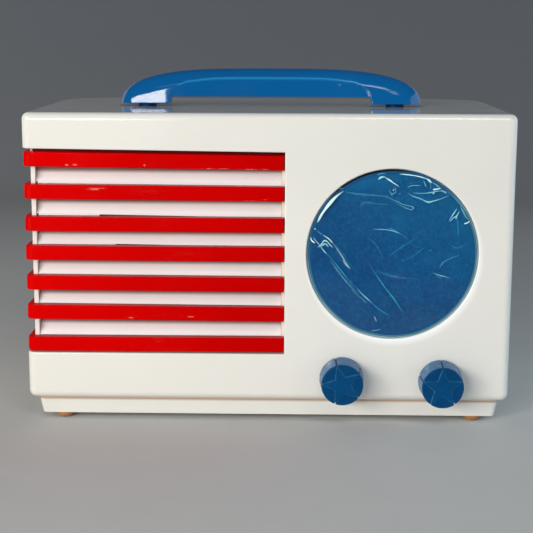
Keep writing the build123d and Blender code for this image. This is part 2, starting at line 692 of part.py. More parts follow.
def filter_capacitor():
    x, d = FILTER_SPOT
    can = post(x, d, 17.5, DECK_Z, DECK_Z + 2) + post(x, d, 16, DECK_Z + 2, DECK_Z + 58)
    can = fillet(can.edges().group_by(Axis.Z)[-1], 2)
    return can + post(x, d, 8, DECK_Z - 12, DECK_Z)


# ---------------------------------------------------------------- tuning capacitor

def plate_stack(make_plate, first_d, count, pitch):
    stack = []
    for k in range(count):
        stack.append(make_plate(first_d + k * pitch))
    return stack


def gang_frame():
    d0, d1 = GANG_D
    x0, x1 = GANG_X - 25, GANG_X + 25
    frame = block(x0, x1, d0, d1, DECK_Z, DECK_Z + 1.6)
    for d in (d0, (d0 + d1) / 2 - 0.8, d1 - 1.6):
        frame += block(x0, x1, d, d + 1.6, DECK_Z, GANG_Z + 10)
    frame += block(x1 - 1.6, x1, d0, d1, DECK_Z, DECK_Z + 10)
    return frame - rod(GANG_X, GANG_Z, SHAFT_R + SHAFT_GAP, d0 - 1, d1 + 1)


def gang_stators():
    """Two comb stacks that stand on the left of the shaft, where the rotor plates close."""
    stacks = []
    for first in (35.9, 56.5):
        comb = block(GANG_X - 23.5, GANG_X - 22, first - 1, first + 15.5, GANG_Z - 8, GANG_Z + 8)

        def plate(d):
            half = rod(GANG_X, GANG_Z, 22.6, d, d + 0.8) & block(GANG_X - 30, GANG_X - 1, d, d + 0.8, 0, 200)
            return half - rod(GANG_X, GANG_Z, 6.5, d - 1, d + 2)

        for piece in plate_stack(plate, first, 5, 3.4):
            comb += piece
        comb += block(GANG_X - 23.5, GANG_X - 22, first - 1, first + 15.5, GANG_Z - 20, GANG_Z - 8)
        feet_z = (DECK_Z + 1.6, GANG_Z - 20)
        comb += block(GANG_X - 23.5, GANG_X - 19, first + 6, first + 8, *feet_z)
        stacks.append(comb)
    return Compound(stacks)


def gang_rotor():
    """Shaft with half-round plates, hanging down at mid scale."""
    rotor = rod(GANG_X, GANG_Z, SHAFT_R, DRUM_D, GANG_D[1] + 3)
    for first in (37.6, 58.2):
        rotor += rod(GANG_X, GANG_Z, 5.2, first - 0.6, first + 11.8)

        def plate(d):
            return rod(GANG_X, GANG_Z, ROTOR_R, d, d + 0.8) & block(0, 200, d, d + 0.8, 0, GANG_Z)

        for piece in plate_stack(plate, first, 4, 3.4):
            rotor += piece
    return rotor


# ---------------------------------------------------------------- top and rear

def crown_line(foot_z):
    """Flattened oval over the handle, from one foot to the other."""
    points = []
    for k in range(CROWN_STEPS + 1):
        turn = math.pi * k / CROWN_STEPS
        across = math.cos(turn)
        x = -HANDLE_HALF * math.copysign(abs(across) ** CROWN_ACROSS, across)
        rise = max(math.sin(turn), 0) ** CROWN_UP if 0 < k < CROWN_STEPS else 0
        points.append((x, foot_z + (HANDLE_TOP - foot_z) * rise))
    return Spline(points)


def handle():
    """Arched grip on two feet, with a domed top and a flat front."""
    foot_z = CASE_TOP + SPACER_T
    half = HANDLE_HALF
    inner = HANDLE_FOOT_IN
    crown = crown_line(foot_z)
    left = [(-inner + 1.2, HANDLE_UNDER), (-inner, foot_z), (-half, foot_z)]
    right = [(-x, z) for x, z in reversed(left)]
    face = make_face(Wire([crown, *Polyline(right + left).edges()]))
    bar = Pos(0, FRONT + HANDLE_D + HANDLE_W / 2, 0) * extrude(Plane.XZ * face, HANDLE_W)
    arches = bar.edges().filter_by(GeomType.BSPLINE)
    bar = fillet(arches, HANDLE_DOME_R)
    for side in (-1, 1):
        bar -= post(side * HANDLE_SCREW_X, HANDLE_D, 1.6, foot_z - 1, foot_z + 9)
    return bar


def handle_spacers():
    rings = []
    for side in (-1, 1):
        x = side * HANDLE_SCREW_X
        ring = post(x, HANDLE_D, SPACER_R, CASE_TOP, CASE_TOP + SPACER_T)
        rings.append(ring - post(x, HANDLE_D, 2.2, CASE_TOP - 1, CASE_TOP + SPACER_T + 1))
    return Compound(rings)


def handle_screws():
    screws = []
    for side in (-1, 1):
        place = Pos(side * HANDLE_SCREW_X, FRONT + HANDLE_D, INNER_TOP) * Rot(180, 0, 20 * side)
        length = WALL + SPACER_T + 8
        screws.append(machine_screw(place, 1.6, length, 4.2, 2.2, 0.9))
    return Compound(screws)


def loop_antenna():
    """Flat winding on the inside of the rear cover."""
    d1 = CASE_D - COVER_RECESS - COVER_T
    outer = upright_panel(98, 62, 118, 14, d1 - 2, d1)
    return outer - upright_panel(82, 76, 104, 6, d1 - 3, d1 + 1)


# ---------------------------------------------------------------- output

def all_nodes():
    nodes = {
        "case": case(),
        "grille_frame": grille_frame(),
        "grille_cloth": grille_cloth(),
        "speaker_baffle": speaker_baffle(),
        "speaker_basket": speaker_basket(),
        "speaker_cone": speaker_cone(),
        "speaker_magnet": speaker_magnet(),
        "output_transformer": output_transformer(),
        "dial_disc": dial_disc(),
        "dial_lens": dial_lens(),
        "dial_film": dial_film(),
        "dial_plate": dial_plate(),
        "dial_plate_screws": dial_plate_screws(),
        "dial_lamp": dial_lamp(),
        "dial_lamp_holder": dial_lamp_holder(),
        "chassis": chassis(),
        "chassis_screws": chassis_screws(),
        "volume_control": volume_control(),
        "volume_shaft": volume_shaft(),
        "volume_knob": knob(0),
        "tuning_bushing": tuning_bushing(),
        "tuning_shaft": tuning_shaft(),
        "tuning_knob": knob(1),
        "drive_drum": drive_drum(),
        "drive_cord": drive_cord(),
        "gang_frame": gang_frame(),
        "gang_stators": gang_stators(),
        "gang_rotor": gang_rotor(),
        "valve_sockets": valve_sockets(),
        "filter_capacitor": filter_capacitor(),
        "handle": handle(),
        "handle_spacers": handle_spacers(),
        "handle_screws": handle_screws(),
        "rear_cover": rear_cover(),
        "rear_cover_screws": rear_cover_screws(),
        "loop_antenna": loop_antenna(),
        "cord_grommet": cord_grommet(),
        "feet": feet(),
    }
    for i, (top, angle) in enumerate(zip(BAR_TOPS, BAR_TILTS)):
        nodes[f"grille_bar_{i + 1}"] = grille_bar(top, angle)
    for i in range(len(BAR_TOPS) - 1):
        nodes[f"grille_slat_{i + 1}"] = grille_slat(i)
    for i, k in enumerate(METAL_VALVES):
        nodes[f"metal_valve_{i + 1}"] = metal_valve(VALVE_SPOTS[k])
    for i, k in enumerate(GLASS_VALVES):
        nodes[f"valve_base_{i + 1}"] = valve_base(VALVE_SPOTS[k])
        nodes[f"valve_glass_{i + 1}"] = valve_glass(VALVE_SPOTS[k])
    for i, spot in enumerate(CAN_SPOTS):
        nodes[f"if_can_{i + 1}"] = if_can(spot)
    return nodes


os.makedirs("parts", exist_ok=True)
for name, solid in all_nodes().items():
    export_step(solid, f"parts/{name}.step")
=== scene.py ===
import bmesh
import bpy
import json
import math
import numpy as np
from mathutils import Euler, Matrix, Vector


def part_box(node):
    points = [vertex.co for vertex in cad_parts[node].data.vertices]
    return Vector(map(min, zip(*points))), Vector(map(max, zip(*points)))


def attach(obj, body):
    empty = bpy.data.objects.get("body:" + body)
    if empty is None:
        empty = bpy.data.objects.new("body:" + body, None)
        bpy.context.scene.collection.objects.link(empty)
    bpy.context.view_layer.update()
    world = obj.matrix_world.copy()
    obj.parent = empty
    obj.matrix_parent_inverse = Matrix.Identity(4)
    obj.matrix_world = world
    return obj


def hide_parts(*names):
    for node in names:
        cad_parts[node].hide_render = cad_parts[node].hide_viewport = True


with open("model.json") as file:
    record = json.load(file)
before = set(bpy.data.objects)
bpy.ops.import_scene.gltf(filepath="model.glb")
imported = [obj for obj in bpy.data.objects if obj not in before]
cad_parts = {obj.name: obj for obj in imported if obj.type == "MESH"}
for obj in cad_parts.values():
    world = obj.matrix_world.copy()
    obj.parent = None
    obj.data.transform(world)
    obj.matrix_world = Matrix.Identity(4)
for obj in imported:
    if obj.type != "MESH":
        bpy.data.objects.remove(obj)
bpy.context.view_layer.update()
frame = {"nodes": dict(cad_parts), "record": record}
nodes = frame["nodes"]
MM = 0.001


# ---------------------------------------------------------------- node helpers

class Paint:
    """A material's node tree, with short calls for the nodes used here."""

    def __init__(self, name):
        self.material = bpy.data.materials.new(name)
        self.material.use_nodes = True
        self.tree = self.material.node_tree
        self.shader = self.tree.nodes["Principled BSDF"]
        self.place = self.add("ShaderNodeTexCoord").outputs["Object"]
        self.height = None

    def add(self, kind, **settings):
        made = self.tree.nodes.new(kind)
        for key, value in settings.items():
            setattr(made, key, value)
        return made

    def feed(self, socket, value):
        """Links an output, or sets a plain number or colour."""
        if isinstance(value, bpy.types.NodeSocket):
            self.tree.links.new(value, socket)
        elif isinstance(value, (tuple, list)) and len(value) == 3 and socket.type == "RGBA":
            socket.default_value = (*value, 1)
        else:
            socket.default_value = value

    def set(self, **values):
        """Plain numbers or colours, or outputs, on the shader's own sockets: base_color is Base Color."""
        for key, value in values.items():
            name = key.replace("_", " ").title().replace("Ior", "IOR")
            self.feed(self.shader.inputs[name], value)

    def stretch(self, scale):
        mapping = self.add("ShaderNodeMapping")
        self.feed(mapping.inputs["Vector"], self.place)
        mapping.inputs["Scale"].default_value = scale
        return mapping.outputs["Vector"]

    def noise(self, scale, detail=3.0, roughness=0.5, where=None, distortion=0.0):
        made = self.add("ShaderNodeTexNoise")
        self.feed(made.inputs["Vector"], where or self.place)
        made.inputs["Scale"].default_value = scale
        made.inputs["Detail"].default_value = detail
        made.inputs["Roughness"].default_value = roughness
        made.inputs["Distortion"].default_value = distortion
        return made.outputs["Fac"]

    def cells(self, scale):
        made = self.add("ShaderNodeTexVoronoi")
        self.feed(made.inputs["Vector"], self.place)
        made.inputs["Scale"].default_value = scale
        return made.outputs["Distance"]

    def span(self, value, low, high, out_low=0.0, out_high=1.0):
        """The value, with low to high spread over out_low to out_high and clamped."""
        made = self.add("ShaderNodeMapRange")
        self.feed(made.inputs["Value"], value)
        ends = {"From Min": low, "From Max": high, "To Min": out_low, "To Max": out_high}
        for key, number in ends.items():
            made.inputs[key].default_value = number
        return made.outputs["Result"]

    def math(self, operation, a, b=0.0):
        made = self.add("ShaderNodeMath", operation=operation)
        self.feed(made.inputs[0], a)
        self.feed(made.inputs[1], b)
        return made.outputs[0]

    def mix(self, share, a, b, blend="MIX"):
        made = self.add("ShaderNodeMix", data_type="RGBA", blend_type=blend)
        self.feed(made.inputs["Factor"], share)
        self.feed(made.inputs[6], a)
        self.feed(made.inputs[7], b)
        return made.outputs[2]

    def along(self, axis):
        """Place along X, Y or Z in metres."""
        parts = self.add("ShaderNodeSeparateXYZ")
        self.feed(parts.inputs[0], self.place)
        return parts.outputs[axis]

    def near(self, centre, reach, inner=0.8):
        """1 inside an oval about the centre, falling to 0 at its edge."""
        mapping = self.add("ShaderNodeMapping", vector_type="TEXTURE")
        self.feed(mapping.inputs["Vector"], self.place)
        mapping.inputs["Location"].default_value = centre
        mapping.inputs["Scale"].default_value = reach
        length = self.add("ShaderNodeVectorMath", operation="LENGTH")
        self.feed(length.inputs[0], mapping.outputs["Vector"])
        return self.span(length.outputs["Value"], inner, 1.0, 1.0, 0.0)

    def attribute(self, name):
        return self.add("ShaderNodeAttribute", attribute_name=name).outputs["Fac"]

    def bump(self, height, depth, strength):
        """Adds a relief of that depth in metres to the shader's normal."""
        made = self.add("ShaderNodeBump")
        self.feed(made.inputs["Height"], height)
        made.inputs["Distance"].default_value = depth
        made.inputs["Strength"].default_value = strength
        if self.height is not None:
            self.feed(made.inputs["Normal"], self.height)
        self.height = made.outputs["Normal"]
        self.feed(self.shader.inputs["Normal"], self.height)


# ---------------------------------------------------------------- materials

def scratches(paint, scale, along):
    """Thin hair scratches: stretched noise, kept only near one level."""
    lines = paint.noise(scale, 2, 0.4, paint.stretch(along), 0.6)
    near = paint.math("ABSOLUTE", paint.math("SUBTRACT", lines, 0.5))
    return paint.span(near, 0.0, 0.006, 1.0, 0.0)


def scuffed(paint, spots):
    """Rubbed, whitened streaks at the given places: x, z, half length and half height in mm."""
    worn = None
    grain = paint.span(paint.noise(420, 4, 0.7, paint.stretch((0.35, 1.0, 1.6)), 0.8), 0.50, 0.62)
    for x, z, along, high in spots:
        reach = (SCUFF_SPREAD * along * MM, SCUFF_DEPTH, SCUFF_SPREAD * high * MM)
        near = paint.near((x * MM, FRONT_Y, z * MM), reach, SCUFF_INNER)
        worn = near if worn is None else paint.math("MAXIMUM", worn, near)
    return paint.math("MULTIPLY", worn, grain)


def resin(name, pale, deep, gloss, cloud, coat=0.0, wear=0.3, speck=0.0, shine=0.5, spots=(), shade=None):
    """Polished cast resin: clouded colour, uneven polish, faint hair scratches and a soft ripple.

    Spots are rubbed places, and shade is a function that adds the painted light and shade of that one
    material, and any dust.
    """
    paint = Paint(name)
    clouds = paint.noise(cloud, 4, 0.55)
    colour = paint.mix(paint.span(clouds, 0.35, 0.65), deep, pale)
    fine = paint.noise(900, 2, 0.6)
    colour = paint.mix(paint.span(fine, 0.30, 0.70, 0.0, 0.10), colour, deep)
    if speck:
        dots = paint.span(paint.cells(160), 0.0, 0.035, speck, 0.0)
        colour = paint.mix(dots, colour, [0.35 * c for c in deep])
    long_hairs = scratches(paint, 30, (1.0, 3.0, 14.0))
    short_hairs = scratches(paint, 40, (2.0, 3.0, 11.0))
    hair = paint.math("MAXIMUM", long_hairs, short_hairs)
    rubbed = paint.span(paint.noise(26, 3, 0.6), 0.56, 0.74)
    hair = paint.math("MULTIPLY", hair, rubbed)
    colour = paint.mix(paint.math("MULTIPLY", hair, 0.25 * wear), colour, (0.9, 0.86, 0.84))
    if spots:
        worn = scuffed(paint, spots)
        colour = paint.mix(paint.math("MULTIPLY", worn, 0.75), colour, (0.80, 0.36, 0.33))
        hair = paint.math("MAXIMUM", hair, worn)
    if shade:
        colour = shade(paint, colour)
    polish = paint.span(paint.noise(40, 3, 0.6), 0.3, 0.7, gloss * 0.75, gloss * 1.35)
    rough = paint.math("ADD", polish, paint.math("MULTIPLY", hair, 0.25 * wear))
    paint.set(base_color=colour, roughness=rough, specular_ior_level=shine)
    paint.set(coat_weight=coat, coat_roughness=0.06)
    paint.bump(paint.noise(14, 2, 0.5), 0.0006, 0.25)
    paint.bump(paint.noise(300, 2, 0.5), 0.00003, 0.35)
    paint.bump(hair, -0.00003, 0.5)
    return paint.material


def case_painted_light(paint, colour):
    """Case: painted shadow under the handle's feet, painted highlight round the dial, painted shade in the
    plinth's seam, dust on top.
    """
    low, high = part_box("handle")
    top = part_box("case")[1].z
    # Painted shadow under each foot of the handle.
    for side in (-1, 1):
        foot = (side * FOOT_MIDDLE, (low.y + high.y) / 2, top)
        colour = paint.mix(paint.near(foot, FOOT_SHADE), colour, (0.015, 0.016, 0.018))
    # Painted highlight in a ring round the dial.
    low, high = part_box("dial_lens")
    reach = (high.x - low.x) / 2 + HIGHLIGHT_REACH
    ring = ((low.x + high.x) / 2 + HIGHLIGHT_SHIFT[0], low.y, (low.z + high.z) / 2 + HIGHLIGHT_SHIFT[1])
    colour = paint.mix(paint.near(ring, (reach, reach, reach), 0.93), colour, (0.96, 0.97, 0.97))
    up = paint.along("Z")
    # Painted brown shade in the plinth's seam, under the case's lip.
    seam = paint.span(paint.math("ABSOLUTE", paint.math("SUBTRACT", up, SEAM_Z)), 0.0, SEAM_HALF, 0.9, 0.0)
    colour = paint.mix(seam, colour, (0.42, 0.24, 0.13))
    specks = paint.span(paint.cells(210), 0.03, 0.09, 0.7, 0.0)
    dust = paint.math("MULTIPLY", specks, paint.span(up, top - DUST_FROM, top - DUST_FULL))
    return paint.mix(dust, colour, (0.95, 0.97, 0.97))


def red_shade_to_right(paint, colour):
    """Painted shade: the reds darken towards the right end of the bars."""
    low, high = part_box("grille_bar_1")
    run = paint.span(paint.along("X"), low.x, high.x)
    return paint.mix(run, colour, (0.80, 0.80, 0.80), "MULTIPLY")


def shade_under_bars(paint, colour):
    """Slats: painted shadow close under each bar, paler below."""
    up = paint.along("Z")
    dark = soft = 0.0
    for k in range(1, BARS):
        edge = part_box(f"grille_bar_{k}")[0].z - SLAT_SHADE_FROM - k * SLAT_SHADE_STEP
        here = paint.math("LESS_THAN", up, edge + SLAT_SHADE_OVER)
        close = paint.math("MULTIPLY", paint.span(up, edge - SLAT_DARK, edge), here)
        wide = paint.math("MULTIPLY", paint.span(up, edge - SLAT_SOFT, edge), here)
        dark = paint.math("MAXIMUM", close, dark)
        soft = paint.math("MAXIMUM", wide, soft)
    colour = paint.mix(soft, colour, (0.80, 0.74, 0.745), "MULTIPLY")
    return paint.mix(paint.math("MULTIPLY", dark, 0.85), colour, (0.14, 0.05, 0.05))


def shade_over_top_bar(paint, colour):
    """Frame: painted dark red shade over the top bar, where the bar's top face lies in shadow."""
    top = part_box("grille_bar_1")[1].z
    shade_band = paint.span(paint.along("Z"), top - FRAME_SHADE_FROM, top - FRAME_SHADE_FULL)
    return paint.mix(shade_band, colour, (0.150, 0.001, 0.003))


def pale_crest(paint, colour):
    """Handle: painted highlight along the crease over the grip."""
    return paint.mix(paint.math("MULTIPLY", paint.attribute("crest"), 0.7), colour, (0.020, 0.270, 0.560))


def knob_painted_sheen(paint, colour):
    """Knobs: painted sheen on the drum's side, patchy painted highlights along the star's edges, darker in
    the hollows.
    """
    hollow_dark = paint.math("MULTIPLY", paint.attribute("hollow"), 0.35)
    colour = paint.mix(hollow_dark, colour, (0.001, 0.036, 0.115))
    colour = paint.mix(paint.attribute("side"), colour, (0.052, 0.165, 0.330))
    patchy = paint.span(paint.noise(260, 3, 0.6), 0.38, 0.62, 0.10, 0.65)
    return paint.mix(paint.math("MULTIPLY", paint.attribute("edge"), patchy), colour, (0.045, 0.190, 0.370))


def metal(name, pale, deep, rough, grain, brushed=(1.0, 1.0, 1.0)):
    """Metal with brushed or mottled grain and tarnish."""
    paint = Paint(name)
    streak = paint.noise(grain, 4, 0.6, paint.stretch(brushed))
    tarnish = paint.noise(60, 4, 0.6)
    colour = paint.mix(paint.span(streak, 0.3, 0.7), deep, pale)
    colour = paint.mix(paint.span(tarnish, 0.55, 0.75, 0.0, 0.5), colour, [0.45 * c for c in deep])
    uneven = paint.span(tarnish, 0.3, 0.7, rough * 0.8, rough * 1.4)
    paint.set(base_color=colour, metallic=1.0, roughness=uneven)
    paint.bump(streak, 0.00004, 0.4)
    return paint.material


def enamel(name, pale, deep, rough):
    """Sprayed enamel with orange peel and chips of dust."""
    paint = Paint(name)
    colour = paint.mix(paint.span(paint.noise(50, 4, 0.6), 0.35, 0.65), deep, pale)
    dust = paint.span(paint.noise(700, 3, 0.7), 0.60, 0.75, 0.0, 0.25)
    colour = paint.mix(dust, colour, (0.30, 0.28, 0.25))
    paint.set(base_color=colour, roughness=paint.span(paint.noise(90), 0.3, 0.7, rough * 0.8, rough * 1.3))
    paint.bump(paint.noise(900, 2, 0.5), 0.00004, 0.5)
    return paint.material


def board(name, pale, deep):
    """Pressed fibre board: short fibres in all directions, a little bloom."""
    paint = Paint(name)
    fibres = paint.noise(1500, 5, 0.7, paint.stretch((1.0, 1.0, 0.3)), 1.2)
    across = paint.noise(1400, 5, 0.7, paint.stretch((0.3, 1.0, 1.0)), 1.2)
    both = paint.math("MULTIPLY", fibres, across)
    colour = paint.mix(paint.span(both, 0.12, 0.38), deep, pale)
    bloom = paint.span(paint.noise(30, 3, 0.6), 0.45, 0.75, 0.0, 0.5)
    colour = paint.mix(bloom, colour, [0.6 * c for c in deep])
    paint.set(base_color=colour, roughness=paint.span(both, 0.1, 0.4, 0.62, 0.85), specular_ior_level=0.3)
    paint.bump(both, 0.00015, 0.6)
    return paint.material


def cloth(name, pale, deep, threads, depth):
    """Plain weave: threads over and under, with uneven dye."""
    paint = Paint(name)
    warp = paint.math("SINE", paint.math("MULTIPLY", paint.along("X"), threads))
    weft = paint.math("SINE", paint.math("MULTIPLY", paint.along("Z"), threads))
    weave = paint.span(paint.math("MULTIPLY", warp, weft), -1.0, 1.0)
    colour = paint.mix(weave, deep, pale)
    dye = paint.span(paint.noise(400, 3, 0.6), 0.4, 0.7, 0.0, 0.4)
    colour = paint.mix(dye, colour, [0.5 * c for c in deep])
    paint.set(base_color=colour, roughness=paint.span(weave, 0.0, 1.0, 0.95, 0.8), sheen_weight=0.2)
    paint.bump(weave, depth, 0.8)
    return paint.material


def passes_light(paint, tint):
    """Casts no shadow of its own: lamps shine through, tinted."""
    path = paint.add("ShaderNodeLightPath")
    clear = paint.add("ShaderNodeBsdfTransparent")
    clear.inputs["Color"].default_value = (*tint, 1)
    both = paint.add("ShaderNodeMixShader")
    paint.feed(both.inputs[0], path.outputs["Is Shadow Ray"])
    paint.feed(both.inputs[1], paint.shader.outputs[0])
    paint.feed(both.inputs[2], clear.outputs[0])
    out = paint.tree.nodes["Material Output"]
    paint.feed(out.inputs["Surface"], both.outputs[0])


def see_through(name, tint, rough, ior):
    """Clear sheet: bends and mirrors light, and lets the lamps reach what lies behind it."""
    paint = Paint(name)
    haze = paint.span(paint.noise(120, 3, 0.6), 0.45, 0.75, rough, rough * 2.5)
    paint.set(base_color=tint, roughness=haze, transmission_weight=1.0, ior=ior, specular_ior_level=0.25)
    paint.bump(paint.noise(60, 2, 0.5), 0.00004, 0.3)
    passes_light(paint, tint)
    return paint.material


def film_skin():
    """Thin protective film: nearly invisible where flat, shiny where it is creased, with painted white
    highlights on the creases.
    """
    paint = Paint("film_skin")
    # Painted highlight on the creases, kept on the film's points.
    crease = paint.attribute("crease")
    tint = paint.attribute("tint")
    wisps = paint.noise(70, 5, 0.65, paint.stretch((1.0, 1.0, 1.6)), 1.5)
    haze = paint.span(wisps, 0.48, 0.76, 0.0, 0.12)
    cyan = (0.05, 0.60, 0.86)
    colour = paint.mix(tint, (0.70, 1.0, 1.0), cyan)
    colour = paint.mix(paint.span(crease, 0.0, 0.08), (0.012, 0.32, 0.70), colour)
    seen = paint.math("MINIMUM", paint.math("ADD", haze, crease), 0.97)
    paint.set(base_color=colour, roughness=0.22, alpha=seen, specular_ior_level=0.05)
    paint.bump(paint.noise(240, 3, 0.6, paint.stretch((1.0, 1.0, 2.2)), 0.8), 0.00012, 0.5)
    return paint.material


def dial_sheet():
    """Blue painted sheet behind the lens, mottled: greener above and greyer below, with a painted sheen on
    the upper right.
    """
    paint = Paint("dial_sheet")
    low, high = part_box("dial_disc")
    drift = paint.span(paint.noise(28, 3, 0.6), 0.3, 0.7, -DIAL_DRIFT, DIAL_DRIFT)
    rise = paint.span(paint.math("ADD", paint.along("Z"), drift), low.z, high.z)
    colour = paint.mix(paint.span(rise, 0.05, 0.45), (0.030, 0.100, 0.270), (0.003, 0.085, 0.275))
    colour = paint.mix(paint.span(rise, 0.50, 0.90), colour, (0.008, 0.140, 0.340))
    # Painted sheen on the upper right of the dial.
    run = paint.span(paint.along("X"), (low.x + high.x) / 2, high.x)
    right = paint.math("MULTIPLY", run, paint.span(rise, 0.2, 0.7))
    colour = paint.mix(right, colour, (0.010, 0.155, 0.360))
    clouds = paint.noise(30, 6, 0.72, None, 0.8)
    colour = paint.mix(paint.span(clouds, 0.40, 0.60, 0.34, 0.0), colour, (0.002, 0.045, 0.170))
    specks = paint.noise(620, 4, 0.7)
    colour = paint.mix(paint.span(specks, 0.46, 0.66, 0.0, 0.40), colour, (0.030, 0.200, 0.430))
    paint.set(base_color=colour, specular_ior_level=0.15)
    paint.set(roughness=paint.span(clouds, 0.3, 0.7, 0.40, 0.60))
    paint.bump(specks, 0.00003, 0.4)
    return paint.material


def soft_rubber():
    """Amber bumper, half clear."""
    paint = Paint("amber_rubber")
    clouds = paint.noise(150, 3, 0.6)
    colour = paint.mix(clouds, (0.52, 0.20, 0.05), (0.78, 0.42, 0.16))
    paint.set(base_color=colour, roughness=paint.span(clouds, 0.3, 0.7, 0.16, 0.30))
    paint.set(transmission_weight=0.45, ior=1.45, subsurface_weight=0.4, subsurface_scale=0.003)
    paint.bump(paint.noise(500), 0.00003, 0.4)
    return paint.material


def paper_pulp():
    paint = Paint("cone_paper")
    pulp = paint.noise(800, 5, 0.7, None, 1.0)
    colour = paint.mix(paint.span(pulp, 0.3, 0.7), (0.055, 0.048, 0.042), (0.16, 0.14, 0.12))
    paint.set(base_color=colour, roughness=paint.span(pulp, 0.3, 0.7, 0.75, 0.95), specular_ior_level=0.3)
    paint.bump(pulp, 0.0001, 0.6)
    return paint.material


def laminations():
    """Varnished iron laminations: fine dark lines across the stack."""
    paint = Paint("laminations")
    wave = paint.add("ShaderNodeTexWave", wave_type="BANDS", bands_direction="Y")
    paint.feed(wave.inputs["Vector"], paint.place)
    wave.inputs["Scale"].default_value = 420
    wave.inputs["Distortion"].default_value = 0.4
    rust = paint.noise(140, 4, 0.65)
    colour = paint.mix(wave.outputs["Fac"], (0.035, 0.032, 0.030), (0.10, 0.095, 0.09))
    colour = paint.mix(paint.span(rust, 0.55, 0.75, 0.0, 0.6), colour, (0.16, 0.07, 0.03))
    paint.set(base_color=colour, roughness=paint.span(rust, 0.3, 0.7, 0.35, 0.6), metallic=0.4)
    paint.bump(wave.outputs["Fac"], 0.00008, 0.5)
    return paint.material


# Scuffs on the bars: x, z, half length and half height in mm.
FRONT_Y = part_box("grille_bar_1")[0].y
SCUFF_DEPTH = 6.6 * MM
SCUFF_SPREAD = 1.1
SCUFF_INNER = 0.45
BAR_SCUFFS = (
    (-114.4, 150.3, 1.2, 0.6), (-109.3, 150.5, 1.5, 0.5), (-70.0, 150.4, 0.7, 0.6), (-97.7, 136.9, 6.0, 0.8),
    (-14.0, 130.3, 11.0, 0.5), (-1.6, 131.6, 2.5, 0.6), (-80.7, 62.2, 3.4, 0.5), (-44.5, 63.1, 2.1, 0.45),
    (2.3, 75.2, 2.2, 0.35), (-7.0, 148.4, 13.0, 0.4), (-30.0, 148.7, 8.0, 0.3),
)

# Painted shade on the slats: it starts below a bar, a step lower at each bar further down.
BARS = 7
SLAT_SHADE_FROM = 0.6 * MM
SLAT_SHADE_STEP = 0.25 * MM
SLAT_SHADE_OVER = 8.0 * MM
SLAT_DARK = 2.0 * MM
SLAT_SOFT = 6.5 * MM

# Painted shade on the frame, measured down from the top of the top bar.
FRAME_SHADE_FROM = 5.0 * MM
FRAME_SHADE_FULL = 4.0 * MM

# Painted shadow under the handle's feet, painted shade in the plinth's seam, a painted highlight round the
# dial, dust on the top.
FOOT_MIDDLE = 76.0 * MM
FOOT_SHADE = (19.0 * MM, 13.0 * MM, 4.0 * MM)
SEAM_Z = 12.7 * MM
SEAM_HALF = 1.4 * MM
HIGHLIGHT_SHIFT = (0.9 * MM, -2.4 * MM)
HIGHLIGHT_REACH = 2.6 * MM
DUST_FROM = 0.6 * MM
DUST_FULL = 0.2 * MM

# How far the dial's colours drift up and down.
DIAL_DRIFT = 16.0 * MM

IVORY_PALE = (0.788, 0.777, 0.738)
IVORY_DEEP = (0.763, 0.750, 0.704)
IVORY = resin("ivory_resin", IVORY_PALE, IVORY_DEEP, 0.15, 9.0, coat=0.6, speck=0.25, shade=case_painted_light)
FRAME_IVORY = resin("frame_resin", IVORY_PALE, IVORY_DEEP, 0.45, 9.0, shine=0.05, shade=shade_over_top_bar)
RED = resin("red_resin", (0.640, 0.0, 0.0), (0.590, 0.0, 0.0), 0.20, 16.0,
            wear=0.15, shine=0.02, spots=BAR_SCUFFS, shade=red_shade_to_right)
WHITE = resin("white_resin", (0.905, 0.890, 0.900), (0.865, 0.848, 0.858), 0.30, 16.0,
              shine=0.08, shade=shade_under_bars)
# Handle spacers: the handle's blue resin painted darker, as painted shade under the feet.
SPACER_BLUE_SHADED = resin("spacer_resin_shaded", (0.001, 0.045, 0.150), (0.001, 0.036, 0.120), 0.35, 14.0,
                    wear=0.2, shine=0.1)
HANDLE_BLUE = resin("handle_resin", (0.001, 0.116, 0.345), (0.001, 0.100, 0.310), 0.07, 14.0,
                    wear=0.2, shade=pale_crest)
KNOB_BLUE = resin("knob_resin", (0.001, 0.064, 0.190), (0.001, 0.052, 0.155), 0.28, 60.0,
                  wear=0.4, shine=0.08, shade=knob_painted_sheen)
BROWN = resin("brown_resin", (0.075, 0.032, 0.018), (0.040, 0.018, 0.010), 0.32, 90.0, coat=0.1, wear=0.5)
LENS = see_through("lens_sheet", (0.90, 0.97, 0.97), 0.02, 1.13)
VALVE_GLASS = see_through("valve_glass", (0.93, 0.95, 0.95), 0.02, 1.45)
STEEL = metal("plated_steel", (0.62, 0.60, 0.54), (0.44, 0.43, 0.40), 0.34, 300, (1.0, 6.0, 1.0))
NICKEL = metal("nickel_screws", (0.72, 0.69, 0.63), (0.50, 0.48, 0.44), 0.28, 900)
BRASS = metal("brass", (0.66, 0.50, 0.24), (0.44, 0.31, 0.14), 0.32, 700)
ALUMINIUM = metal("aluminium", (0.80, 0.81, 0.82), (0.62, 0.63, 0.64), 0.30, 500, (1.0, 1.0, 7.0))
BLACK = enamel("black_enamel", (0.035, 0.034, 0.033), (0.018, 0.018, 0.018), 0.35)
GREY = enamel("grey_enamel", (0.16, 0.16, 0.165), (0.10, 0.10, 0.105), 0.42)
BOARD = board("pressed_board", (0.30, 0.175, 0.090), (0.135, 0.072, 0.035))
GRILLE_CLOTH = cloth("grille_fabric", (0.50, 0.41, 0.27), (0.20, 0.15, 0.09), 5200.0, 0.00015)
WINDING = cloth("cotton_winding", (0.36, 0.24, 0.11), (0.14, 0.08, 0.035), 4200.0, 0.0002)
CORD = cloth("braided_cord", (0.34, 0.29, 0.20), (0.14, 0.11, 0.07), 9000.0, 0.0001)
FILM = film_skin()
DIAL = dial_sheet()
RUBBER = soft_rubber()
PAPER = paper_pulp()
IRON = laminations()

